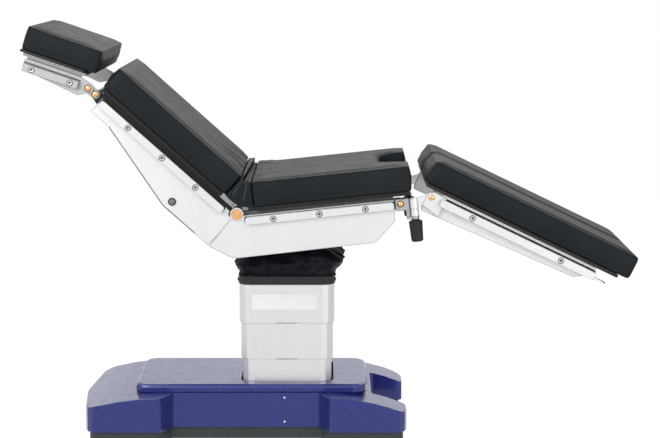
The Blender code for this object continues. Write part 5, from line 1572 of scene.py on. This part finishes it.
@dataclass
class TopMetal:
    """Panels, rails, frames, pivots and leg mounts of the top.

    Args:
        rail_face: Outer face of the rails, from the table's middle.
        bolt_radius: Radius of the rails' bolts.
        seat_bolts: Places of the seat rail's bolts along the section.
        back_bolts: Places of the back rail's bolts.
        head_bolts: Places of the head rail's bolts.
        leg_bolts: Places of the leg rail's bolts.
        seat_rail_up: Middle of the seat rail above its section.
        back_rail_up: Middle of the back rail above its section.
        head_rail_up: Middle of the head rail above its section.
        leg_rail_up: Middle of the leg rail above its section.
        sleeve: The black sleeve over the back pivot's shaft, painted shade there, as (radius, distance from the
            table's middle).
        ring: The steel ring round the back pivot's cap, in the same terms.
        lip_line: Lower line of the dark strip along the back's panel, the painted shade of the panel's edge, as
            (along, up).
        lip_high: The strip's height.
        lip_faces: The strip's inner and outer face.
        nose_corners: Outline of the leg's nose plate, as (along, up, corner radius).
        nose_middle: The point that its edges are drawn in towards.
        nose_levels: Its levels, as (inset, distance from the table's middle).
    """

    rail_face: float = 0.285
    bolt_radius: float = 0.0082
    seat_bolts: tuple[float, ...] = (0.113, 0.258, 0.403)
    back_bolts: tuple[float, ...] = (0.1535, 0.292, 0.432)
    head_bolts: tuple[float, ...] = (0.056, 0.180)
    leg_bolts: tuple[float, ...] = (0.142, 0.452)
    seat_rail_up: float = -0.023
    back_rail_up: float = -0.020
    head_rail_up: float = 0.0
    leg_rail_up: float = -0.001
    sleeve: tuple[Point2, ...] = ((0.0104, 0.1800), (0.0108, 0.1806), (0.0108, 0.2574), (0.0104, 0.2580))
    ring: tuple[Point2, ...] = ((0.0162, 0.2703), (0.0170, 0.2712), (0.0206, 0.2712), (0.0214, 0.2705),
                                (0.0214, 0.2675), (0.0162, 0.2675))
    lip_line: tuple[Point2, ...] = ((0.058, -0.1363), (0.1845, -0.1363), (0.1922, -0.1357), (0.1995, -0.1343),
                                    (0.478, -0.0632))
    lip_high: float = 0.0032
    lip_faces: Point2 = (0.2581, 0.2590)
    nose_corners: tuple[Point3, ...] = ((-0.017, -0.034, 0.007), (0.046, -0.0465, 0.002), (0.046, 0.0160, 0.002),
                                        (0.004, 0.0195, 0.007), (-0.0150, 0.0110, 0.009))
    nose_middle: Point2 = (0.012, -0.012)
    nose_levels: tuple[Point2, ...] = ((0.0008, 0.2612), (0.0, 0.2618), (0.0, 0.2636), (0.0008, 0.2642))

    def dress(self) -> None:
        """Give the top's CAD metal its finishes."""
        paint(DARK_STEEL, "seat_frame")
        paint(SHADOW_BLACK, "back_frame", "seat_board")
        paint(BRASS, "back_pivot_shaft")
        # The head's frame and link get the darker copy of the satin metal: painted shade.
        paint(SHADED_HEAD_METAL, "head_link", "head_frame")
        for hand in Hand:
            word = hand.word
            paint(SATIN_METAL, f"seat_side_panel_{word}", f"back_side_panel_{word}", f"leg_frame_{word}")
            paint(BRACKET_STEEL, f"leg_bracket_{word}")
            paint(BRUSHED_STEEL, f"seat_rail_{word}", f"back_rail_{word}", f"leg_rail_{word}", f"leg_knuckle_{word}")
            paint(BRIGHT_STEEL, f"leg_lever_{word}")
            paint(BLACK_PLASTIC, f"leg_knob_{word}")

    def build(self, fasteners: Fasteners) -> None:
        """Add the rails, their bolts, the pivots' discs, the nose plates, the painted edge shade on the back's panels
        and the shadow gaps.

        Args:
            fasteners: What makes the screws.
        """
        for body, section, places, up in (("seat", SEAT, self.seat_bolts, self.seat_rail_up),
                                          ("back", BACK, self.back_bolts, self.back_rail_up),
                                          ("head", HEAD, self.head_bolts, self.head_rail_up)):
            screws = [screw for hand in Hand for screw in self.row(hand, section, places, up)]
            self.bolts(fasteners, f"{body}_rail", body, screws)
        for hand in Hand:
            screws = self.row(hand, LEG, self.leg_bolts, self.leg_rail_up)
            self.bolts(fasteners, f"leg_rail_{hand.word}", f"leg_{hand.word}", screws)
            self.caps(fasteners, hand)
            self.rails(hand)
            self.pivot(hand)
            self.nose(hand)
            self.lip(hand)
            for strip in self.strips(hand):
                strip.build(hand)

    @staticmethod
    def disc(hand: Hand, section: Section, place: Point3, radius: float) -> Screw:
        """Return a screw that faces outwards from one side of the table.

        Args:
            hand: The side.
            section: The section that it sits on.
            place: Its place: along the section, from the table's middle, and above the section.
            radius: Its radius.

        Returns:
            The screw.
        """
        along, across, up = place
        return Screw(section.at(along, hand.value * across, up), Vector((0, hand.value, 0)), radius)

    def row(self, hand: Hand, section: Section, places: Sequence[float], up: float) -> list[Screw]:
        """Return the bolts of one rail.

        Args:
            hand: The rail's side.
            section: Its section.
            places: The bolts' places along the section.
            up: Their height above the section.

        Returns:
            The bolts.
        """
        return [self.disc(hand, section, (place, self.rail_face, up), self.bolt_radius) for place in places]

    @staticmethod
    def bolts(fasteners: Fasteners, name: str, body: str, screws: Sequence[Screw]) -> None:
        """Fit socket bolts: the head, its dark socket, and a dark grey ring that paints the shade of the recess round
        it.

        Args:
            fasteners: What makes the screws.
            name: The rail's name.
            body: The CAD body that they ride on.
            screws: The bolts.
        """
        fasteners.fit(f"{name}_bolts", body, screws, Head.SOCKET, BOLT_STEEL)
        fasteners.fit(f"{name}_sockets", body, screws, Head.HOLE, SHADOW_BLACK)
        fasteners.fit(f"{name}_recesses", body, screws, Head.RING, RECESS_SHADE)

    def rails(self, hand: Hand) -> None:
        """Make the rails of one side.

        Args:
            hand: The side of the table.
        """
        word = hand.word
        RailBar(f"seat_rail_{word}", "seat", SEAT, 0.025, 0.493, self.seat_rail_up, self.seat_bolts, 0.266,
                hand).build()
        RailBar(f"back_rail_{word}", "back", BACK, 0.041, 0.548, self.back_rail_up, self.back_bolts, 0.258,
                hand).build()
        RailBar(f"leg_rail_{word}", f"leg_{word}", LEG, 0.030, 0.575, self.leg_rail_up, self.leg_bolts, 0.247,
                hand).build()

    @staticmethod
    def strips(hand: Hand) -> Iterable[Strip]:
        """Yield the boards' edges and the shadow gaps of one side.

        Args:
            hand: The side of the table.

        Yields:
            The strips.
        """
        leg = f"leg_{hand.word}"
        yield Strip("leg_board_edge", leg, LEG, -0.0303, 0.6433, 0.0237, 0.0343, 0.0048, 0.2553, BLACK_PLASTIC)
        yield Strip("head_board_edge", "head", HEAD, 0.0277, 0.2350, 0.0402, 0.0483, 0.2000, 0.2600, BLACK_PLASTIC)
        # Painted shade: dark lines where the tray's groove, the web's recess and the gap above the rail lie in shadow.
        yield Strip("head_tray_groove", "head", HEAD, 0.022, 0.219, 0.0352, 0.0368, 0.2640, 0.2649, SHADOW_BLACK)
        yield Strip("head_tray_gap", "head", HEAD, 0.030, 0.206, 0.0262, 0.0310, 0.2640, 0.2647, DARK_STEEL)
        yield Strip("head_rail_gap", "head", HEAD, 0.027, 0.211, 0.0128, 0.0158, 0.2642, 0.2650, SHADOW_BLACK)

    def pivot(self, hand: Hand) -> None:
        """Set the black sleeve over the back pivot's shaft, painted shade there, and the steel ring round the shaft.

        Args:
            hand: The side of the table.
        """
        for word, profile, look, ends in (("sleeve", self.sleeve, SHADOW_BLACK, Ends.CAPPED),
                                          ("ring", self.ring, BRIGHT_STEEL, Ends.JOINED)):
            rings = [SEAT.layer(circle((0.0, 0.0), radius, 48), hand.value * across) for radius, across in profile]
            name = f"back_pivot_{word}_{hand.word}"
            riding(name, stacked(rings, name, ends), look, "seat")

    def caps(self, fasteners: Fasteners, hand: Hand) -> None:
        """Set the brass caps of the pivots and the bracket, and the plug in the back's panel.

        Args:
            fasteners: What makes the discs.
            hand: The side of the table.
        """
        word = hand.word
        cap = self.disc(hand, SEAT, (0.613, 0.2642, -0.011), 0.0100)
        fasteners.fit(f"leg_pivot_cap_{word}", f"leg_{word}", [cap], Head.BUTTON, BRASS)
        pair = [self.disc(hand, BACK, (0.606, 0.2655, -0.013), 0.0094),
                self.disc(hand, BACK, (0.577, 0.2592, -0.013), 0.0100)]
        fasteners.fit(f"head_pivot_caps_{word}", "head_link", pair, Head.BUTTON, BRASS)
        fasteners.fit(f"head_pivot_rings_{word}", "head_link", pair, Head.RING, DARK_STEEL)
        stud = self.disc(hand, SEAT, (0.514, 0.268, -0.021), 0.0086)
        fasteners.fit(f"bracket_cap_{word}", "seat", [stud], Head.BUTTON, BRASS)
        fasteners.fit(f"bracket_ring_{word}", "seat", [stud], Head.RING, SHADOW_BLACK)
        plug = self.disc(hand, BACK, (0.177, 0.2611, -0.107), 0.0098)
        fasteners.fit(f"panel_plug_{word}", "back", [plug], Head.BUTTON, DARK_STEEL)
        fasteners.fit(f"panel_plug_ring_{word}", "back", [plug], Head.RING, SHADOW_BLACK)

    def lip(self, hand: Hand) -> None:
        """Lay a dark strip along the lower line of the back's panel: painted shade of the panel's edge.

        Args:
            hand: The side of the table.
        """
        # A dark strip along the panel's lower edge: painted shade of the edge's thickness.
        band = [*self.lip_line, *((along, up + self.lip_high) for along, up in reversed(self.lip_line))]
        name = f"back_panel_lip_{hand.word}"
        rings = [BACK.layer(band, hand.value * across) for across in self.lip_faces]
        riding(name, stacked(rings, name), DARK_STEEL, "back")

    def nose(self, hand: Hand) -> None:
        """Set the leg's nose plate over the end of the mount's arm.

        Args:
            hand: The side of the table.
        """
        outline = rounded(self.nose_corners)
        rings = [LEG.layer(drawn_in(outline, self.nose_middle, inset), hand.value * across)
                 for inset, across in self.nose_levels]
        name = f"leg_nose_{hand.word}"
        riding(name, stacked(rings, name), SATIN_METAL, f"leg_{hand.word}")


# --------------------------------------------------------------------------- upholstery


@dataclass(frozen=True)
class Crease:
    """A soft fold pressed into a pad's top: a line with a depth, less than 0 for a swelling, and a width."""

    start: Point2
    end: Point2
    depth: float
    width: float


@dataclass
class Pad:
    """One foam pad in its cover, in its section's own axes.

    Args:
        name: The piece's name.
        node: The CAD node that it stands for.
        body: The CAD body that it rides on.
        section: Where its section is.
        start: Its start along the section.
        end: Its end along the section.
        bottom: Its underside above the section.
        top: Its top above the section.
        left: Its edge across the section, nearer -Y.
        right: Its edge across the section, nearer +Y.
        corner: Radius of its corners in plan.
        edge: Radius of its edges.
        lean: How far the top leans back at its start.
        lean_run: The length over which the lean ends.
        joined: The body across the fold from it; a pad that has one is baked in world place and rides on no body.
        notch: True cuts the U out of its end.
        notch_half: Half the notch's width.
        notch_depth: The notch's depth.
        creases: The folds pressed into its top.
        crease_from: Share of its height above which the creases show.
        voxel: Size of the even faces that the cloth is made of.
        slim: How much smaller the blank is than the pad.
        swell: The furthest that the cloth may move.
        held: Distance from a seam at which the cloth is free.
        proud: How far a side may stand out.
        pressure: Pressure in the simulation.
        frames: Steps of the simulation.
        piping: Radius of the welted seam.
        seam_in: Place of the seam on the rounded edge, as a share of its radius.
        seam_step: Distance between the seam's points.
        seam_out: How far the seam stands out, as a share of its radius.
    """

    name: str
    node: str
    body: str
    section: Section
    start: float
    end: float
    bottom: float
    top: float
    left: float = -0.260
    right: float = 0.260
    corner: float = 0.016
    edge: float = 0.0048
    lean: float = 0.0
    lean_run: float = 0.1
    joined: str = ""
    notch: bool = False
    notch_half: float = 0.125
    notch_depth: float = 0.088
    creases: tuple[Crease, ...] = ()
    crease_from: float = 0.8
    voxel: float = 0.0055
    slim: float = 0.0008
    swell: float = 0.0050
    held: float = 0.048
    proud: float = 0.0015
    pressure: float = 4.0
    frames: int = 12
    piping: float = 0.0013
    seam_in: float = 0.35
    seam_step: float = 0.012
    seam_out: float = 0.15

    def outline(self, inset: float, steps: int = 5) -> list[Point2]:
        """Return the pad's plan.

        Args:
            inset: How far it is drawn in all round.
            steps: Pieces in each corner's arc.

        Returns:
            The outline's points.
        """
        low_x, high_x = self.start + inset, self.end - inset
        low_y, high_y = self.left + inset, self.right - inset
        corner = max(self.corner - inset, 0.004)
        corners = [(low_x, low_y, corner), (high_x, low_y, corner)]
        if self.notch:
            half = self.notch_half + inset
            deep = self.end - self.notch_depth - inset
            big = self.notch_depth * 0.8
            corners += [(high_x, -half, corner), (deep, -half, big), (deep, half, big), (high_x, half, corner)]
        corners += [(high_x, high_y, corner), (low_x, high_y, corner)]
        return rounded(corners, steps)

    def blank(self) -> bpy.types.Mesh:
        """Return the closed shape that the pad swells from."""
        edge, slim = self.edge, self.slim
        levels = [(edge + slim, self.bottom), (edge * 0.35 + slim, self.bottom + edge * 0.25),
                  (slim, self.bottom + edge), (slim, self.top - edge - slim),
                  (edge * 0.3 + slim, self.top - edge * 0.3 - slim), (edge + slim, self.top - slim)]
        rings = []
        for inset, up in levels:
            rise = (up - self.bottom) / (self.top - self.bottom)
            rings.append([Vector((x + self.lean * rise * max(0.0, 1 - (x - self.start) / self.lean_run), y, up))
                          for x, y in self.outline(inset)])
        return stacked(rings, self.name)

    def build(self) -> None:
        piece = object_from(self.name, self.blank(), BLACK_VINYL, ALL_SMOOTH)
        remesh = piece.modifiers.new("even_faces", "REMESH")
        remesh.mode = "VOXEL"
        remesh.voxel_size = self.voxel
        settle(piece)
        self.inflate(piece)
        self.press(piece)
        soften = piece.modifiers.new("soften", "SUBSURF")
        soften.levels = soften.render_levels = 1
        settle(piece)
        mesh = piece.data
        seams = self.seams(mesh)
        mesh.transform(self.section.matrix())
        mesh.materials.clear()
        mesh.materials.append(BLACK_VINYL.shade())
        mesh.shade_smooth()
        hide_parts(self.node)
        self.carry(piece)
        seams.transform(self.section.matrix())
        trim = object_from(f"{self.name}_piping", seams, BLACK_VINYL, ALL_SMOOTH)
        self.carry(trim)

    def carry(self, piece: bpy.types.Object) -> None:
        """Fix a piece to the pad's body, or leave it baked in world place where the pad has a joined body.

        Args:
            piece: The pad or its piping.
        """
        if not self.joined:
            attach(piece, self.body)
            return
        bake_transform(piece)

    def inflate(self, piece: bpy.types.Object) -> None:
        """Swell the cover with a short cloth simulation, and cap how far it moves.

        Args:
            piece: The pad.
        """
        scene = bpy.context.scene
        before = points_of(piece.data)
        cloth = piece.modifiers.new("cover", "CLOTH")
        cloth.settings.quality = 4
        cloth.settings.use_pressure = True
        cloth.settings.uniform_pressure_force = self.pressure
        cloth.settings.effector_weights.gravity = 0
        cloth.point_cache.frame_start = 1
        cloth.point_cache.frame_end = self.frames
        for step in range(1, self.frames + 1):
            scene.frame_set(step)
        mesh = applied(piece)
        piece.modifiers.clear()
        scene.frame_set(1)
        shift = points_of(mesh) - before
        length = np.linalg.norm(shift, axis=1, keepdims=True)
        shift *= np.minimum(1.0, self.swell / np.maximum(length, 1e-9)) * self.give(before)
        mesh.vertices.foreach_set("co", (before + shift).ravel())
        piece.data = mesh

    def give(self, spots: np.ndarray) -> np.ndarray:
        """Return how freely the cover moves: not at all on a seam, fully away from all of them.

        Args:
            spots: The cover's points, one in each row.

        Returns:
            A share from 0 to 1 for each point.
        """
        walls = [spots[:, 0] - self.start, self.end - spots[:, 0], spots[:, 1] - self.left, self.right - spots[:, 1],
                 spots[:, 2] - self.bottom, self.top - spots[:, 2]]
        near = np.sort(np.abs(np.stack(walls)), axis=0)[1]
        share = np.clip(near / min(self.held, (self.top - self.bottom) / 2), 0.0, 1.0)
        return eased(share)[:, None]

    def press(self, piece: bpy.types.Object) -> None:
        """Keep the pad flat below and within its sides, and press its creases in.

        Args:
            piece: The pad.
        """
        mesh = piece.data
        for vertex in mesh.vertices:
            spot = vertex.co
            spot.z = max(spot.z, self.bottom)
            spot.y = min(max(spot.y, self.left - self.proud), self.right + self.proud)
            rise = (spot.z - self.bottom) / (self.top - self.bottom)
            if rise > self.crease_from:
                depth = sum(self.pressed(crease, spot.x, spot.y) for crease in self.creases)
                spot.z -= depth * (rise - self.crease_from) / 0.2
        mesh.update()

    @staticmethod
    def pressed(crease: Crease, x: float, y: float) -> float:
        """Return how deep a crease is at a point of the plan.

        Args:
            crease: The crease, which gets shallower towards its end.
            x: The point's place along the section.
            y: The point's place across it.

        Returns:
            The depth.
        """
        start, end = Vector(crease.start), Vector(crease.end)
        line = end - start
        share = min(max((Vector((x, y)) - start).dot(line) / line.length_squared, 0.0), 1.0)
        gap = (Vector((x, y)) - start - line * share).length
        return crease.depth * (1 - share * 0.8) * math.exp(-(gap / crease.width) ** 2)

    def seams(self, mesh: bpy.types.Mesh) -> bpy.types.Mesh:
        """Return the welted seam round the top edge, laid on the cover's real surface.

        Args:
            mesh: The cover, in the section's own axes.

        Returns:
            The seam's mesh, in the same axes.
        """
        work = bmesh.new()
        work.from_mesh(mesh)
        tree = BVHTree.FromBMesh(work)
        work.free()
        path = []
        outline = self.outline(self.edge * self.seam_in, 6)
        spaced: list[Vector] = []
        for i, point in enumerate(outline):
            here, after = Vector(point), Vector(outline[(i + 1) % len(outline)])
            pieces = max(1, round((after - here).length / self.seam_step))
            spaced += [here.lerp(after, k / pieces) for k in range(pieces)]
        for spot in spaced:
            place, outward, *_ = tree.find_nearest(Vector((spot.x, spot.y, self.top - self.edge * self.seam_in)))
            path.append(place + outward * (self.piping * self.seam_out))
        return tube(path, self.piping, f"{self.name}_piping", 6)


@dataclass
class FoldGusset:
    """The cover's folded cloth in the joint between back and seat: a crease runs across it on the slant.

    Places across are from 0 at the back's end to 1 at the seat's. The heights of flap, creases, arch, underside
    and tuck are shares of the fold's own height.

    Args:
        half_width: Half its width.
        stations: Sections across its width, less one.
        gap: How far it stays off the two pads.
        back_start: Start of the back's pad along its section.
        back_low: Lower end of the fold at the back, above the section.
        back_high: Upper end of the fold at the back.
        seat_start: Start of the seat's pad along its section.
        seat_low: Lower end of the fold at the seat.
        seat_high: Upper end of the fold at the seat.
        flap_side: Height of the flap between the creases at the sides.
        flap_middle: The flap's height away from the sides.
        side_from: Distance from the middle at which the flap starts to drop.
        side_run: The distance over which it drops.
        crease_start: Place of the first crease at the near side.
        crease_travel: How far that place moves on towards the far side.
        second_gap: Distance from the first crease to the second at the far side.
        second_more: How much more it is at the near side.
        slit: Height of the creases' bottoms.
        arch: How high the fold swells at the far side.
        under_steps: Pieces of the underside.
        under_dip: How far the underside hangs down to the pivot.
        tuck_run: Width of the edge that is turned down at each side.
        tuck_depth: How far it is turned down.
        first_walls: First and last point of a section on the first crease's walls.
        second_walls: The same for the second crease, which is open at the near side only.
        second_until: World Y up to which it is open.
        welt: Radius of the welts along the sides, in a lighter vinyl that paints the highlight on the fold's edges.
        welts: Where they run: the side's word, the first point of a section and the one after the last.
    """

    half_width: float = 0.2590
    stations: int = 88
    gap: float = 0.0015
    back_start: float = 0.066
    back_low: float = 0.0190
    back_high: float = 0.0975
    seat_start: float = 0.054
    seat_low: float = 0.0140
    seat_high: float = 0.0945
    flap_side: float = 0.86
    flap_middle: float = 0.93
    side_from: float = 0.190
    side_run: float = 0.055
    crease_start: float = 0.20
    crease_travel: float = 0.52
    second_gap: float = 0.16
    second_more: float = 0.28
    slit: float = 0.10
    arch: float = 0.11
    under_steps: int = 8
    under_dip: float = 0.17
    tuck_run: float = 0.004
    tuck_depth: float = 0.02
    first_walls: tuple[int, int] = (11, 20)
    second_walls: tuple[int, int] = (29, 38)
    second_until: float = -0.215
    welt: float = 0.0011
    welts: tuple[tuple[str, int, int], ...] = (("back", 6, 24), ("seat", 27, 45))

    def spot(self, across: float, y: float, rise: float) -> Vector:
        """Return a point between the two pads' ends.

        Args:
            across: Its place between them: 0 is the back's end, 1 the seat's.
            y: World Y.
            rise: Its height, as a share of the fold's.

        Returns:
            The point.
        """
        low = BACK.at(self.back_start - self.gap, y, self.back_low + rise * (self.back_high - self.back_low))
        high = SEAT.at(self.seat_start - self.gap, y, self.seat_low + rise * (self.seat_high - self.seat_low))
        return low.lerp(high, across)

    @staticmethod
    def wave(y: float, scale: float, seed: float, height: float) -> float:
        """Return a slow wave across the table: noise of a scale, with a fixed seed."""
        return noise.noise(Vector((y * scale, seed, 0.0))) * height

    def profile(self, y: float) -> list[Point2]:
        """Return the fold's top line at a station, from back to seat.

        Args:
            y: World Y of the station.

        Returns:
            The line's points, as (across, rise).
        """
        edge = eased(min(1.0, max(0.0, (abs(y) - self.side_from) / self.side_run)))
        share = min(1.0, max(0.0, (y + self.half_width) / (2 * self.half_width)))
        flap = self.flap_middle + (self.flap_side - self.flap_middle) * edge
        wave = self.wave(y, 11, 2.0, 0.05)
        slit = self.slit + self.wave(y, 8, 7.0, 0.03)
        lip = 1.005 + self.wave(y, 17, 9.0, 0.04)
        first = self.crease_start + self.crease_travel * share + self.wave(y, 9, 5.0, 0.03)
        second = first + self.second_gap + self.second_more * (1 - share)
        edge *= 1 - share
        half, deep = flap + (0.56 - flap) * edge, flap - 0.02 + (slit - flap + 0.02) * edge
        keys = [(0.0, lip), (0.03, lip + 0.012), (first * 0.55, lip - 0.006 + wave), (first - 0.09, lip + 0.015),
                (first - 0.035, 0.60), (first, slit), (first + 0.03, 0.58), (first + 0.065, flap + 0.03 + wave),
                ((first + second) / 2, flap - 0.01 + wave), (second - 0.055, flap + 0.01), (second - 0.025, half),
                (second, deep), (second + 0.025, half), (second + 0.045, lip - 0.03), (0.965, lip), (0.98, lip),
                (1.0, lip - 0.01)]
        keys = [(across, rise + self.arch * share * math.sin(math.pi * across) * (rise > 0.7))
                for across, rise in keys]
        spans = zip([keys[0], *keys], keys, keys[1:], [*keys[2:], keys[-1]])
        points = [self.curve(*span, step / 3) for span in spans for step in range(3)]
        return [*points, keys[-1]]

    @staticmethod
    def curve(a: Point2, b: Point2, c: Point2, d: Point2, t: float) -> Point2:
        """Return a point of the smooth curve from b to c.

        Args:
            a: The point before b.
            b: The curve's start.
            c: The curve's end.
            d: The point after c.
            t: The share of the way from b to c.

        Returns:
            The point.
        """
        out = []
        for p, q, r, s in zip(a, b, c, d):
            out.append(q + 0.5 * t * (r - p + t * (2 * p - 5 * q + 4 * r - s + t * (3 * (q - r) + s - p))))
        return (out[0], out[1])

    def build(self) -> None:
        """Make the gusset and the lighter welts along its edges, which paint their highlight."""
        rings = []
        for i in range(self.stations + 1):
            y = self.half_width * math.sin((i / self.stations - 0.5) * math.pi)
            tuck = max(0.0, (abs(y) - self.half_width + self.tuck_run) / self.tuck_run) * self.tuck_depth
            top = [self.spot(across, y, rise - tuck) for across, rise in self.profile(y)]
            ways = [n / self.under_steps for n in range(self.under_steps + 1)]
            under = [self.spot(1 - way, y, 0.01 + tuck - self.under_dip * math.sin(math.pi * way)) for way in ways]
            rings.append(top + under)
        piece = object_from("fold_gusset", stacked(rings, "fold_gusset"), BLACK_VINYL, FOLDED_EDGE)
        self.darken(piece, len(rings[0]))
        self.bend(piece)
        for hand in Hand:
            self.side_welts(hand)

    def side_welts(self, hand: Hand) -> None:
        """Lay the lighter welts along one side of the fold: painted highlight on its edges.

        Args:
            hand: The side.
        """
        y = hand.value * (self.half_width + 0.0002)
        points = self.profile(y)
        for word, first, last in self.welts:
            path = [self.spot(across, y, rise) for across, rise in points[first:last]]
            name = f"fold_welt_{word}_{hand.word}"
            # The welts' lighter vinyl is a painted highlight on the fold's edges.
            welt = object_from(name, tube(path, self.welt, name, 6, False), VINYL_EDGE_HIGHLIGHT, ALL_SMOOTH)
            self.bend(welt)

    def darken(self, piece: bpy.types.Object, count: int) -> None:
        """Give the walls of the two creases the shadow black: painted shade in the creases.

        Args:
            piece: The gusset.
            count: Points in each of its sections.
        """
        # Painted shade: the creases' walls get the shadow black.
        piece.data.materials.append(SHADOW_BLACK.shade())
        points = piece.data.vertices
        for face in piece.data.polygons:
            places = [index % count for index in face.vertices]
            low, high = min(places), max(places)
            near = min(points[index].co.y for index in face.vertices) < self.second_until
            first = self.first_walls[0] <= low and high <= self.first_walls[1]
            second = near and self.second_walls[0] <= low and high <= self.second_walls[1]
            if first or second:
                face.material_index = 1

    @staticmethod
    def bend(piece: bpy.types.Object) -> None:
        """Bake a piece of the fold into world place."""
        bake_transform(piece)


@dataclass
class Upholstery:
    """All pads of the top, and the gusset in the fold between back and seat."""

    def pads(self) -> Iterable[Pad]:
        """Yield the pads, head first."""
        yield Pad("head_cushion", "head_pad", "head", HEAD, -0.011, 0.236, 0.0486, 0.123)
        yield Pad("back_cushion", "back_pad", "back", BACK, 0.066, 0.577, 0.0196, 0.0995, joined="seat", creases=(
            Crease((0.064, -0.19), (0.165, -0.05), 0.0045, 0.015), Crease((0.064, 0.04), (0.20, 0.13), 0.0050, 0.014),
            Crease((0.062, -0.06), (0.14, 0.03), 0.0035, 0.011), Crease((0.064, 0.21), (0.16, 0.17), 0.0040, 0.013),
            Crease((0.10, 0.00), (0.26, 0.10), 0.0022, 0.020)))
        yield Pad("seat_cushion", "seat_pad", "seat", SEAT, 0.054, 0.5555, 0.0146, 0.0955, notch=True,
                  joined="back", corner=0.009, creases=(
                      Crease((0.060, 0.262), (0.060, -0.262), -0.0075, 0.026),
                      Crease((0.105, 0.262), (0.095, 0.10), -0.0030, 0.012),
                      Crease((0.056, -0.20), (0.120, -0.12), 0.0026, 0.016),
                      Crease((0.056, 0.02), (0.115, -0.03), 0.0022, 0.015),
                      Crease((0.056, 0.17), (0.130, 0.08), 0.0026, 0.015)))
        for hand in Hand:
            left, right = sorted((hand.value * 0.005, hand.value * 0.260))
            yield Pad(f"leg_cushion_{hand.word}", f"leg_pad_{hand.word}", f"leg_{hand.word}", LEG,
                      -0.0455, 0.682, 0.0346, 0.112, left, right, edge=0.0095, lean=0.0095)

    def build(self) -> None:
        """Make every pad, then the gusset."""
        for pad in self.pads():
            pad.build()
        FoldGusset().build()


# --------------------------------------------------------------------------- the whole table


class Assembly(Protocol):
    """A sub-assembly whose CAD pieces are dressed before its own pieces are built on them."""

    def dress(self) -> None:
        """Give the CAD pieces their finishes."""

    def build(self, fasteners: Fasteners) -> None:
        """Add the assembly's own pieces."""


def report(known: set[str]) -> None:
    """Log every piece that isn't among the known objects.

    Args:
        known: Names of the objects that were there before the scene's own pieces.
    """
    for piece in bpy.data.objects:
        if piece.type == "MESH" and piece.name not in known:
            LOG.info("%s: %d faces", piece.name, len(piece.data.polygons))


def main() -> None:
    """Build the whole scene in order."""
    logging.basicConfig(level=logging.INFO, format="%(name)s: %(message)s")
    Studio().build()
    fasteners = Fasteners()
    known = {piece.name for piece in bpy.data.objects}
    assemblies: tuple[Assembly, ...] = (Base(), Column(), TopMetal())
    for assembly in assemblies:
        assembly.dress()
        assembly.build(fasteners)
    Boot().build()
    Upholstery().build()
    fasteners.clear()
    report(known)


if __name__ == "__main__":
    main()
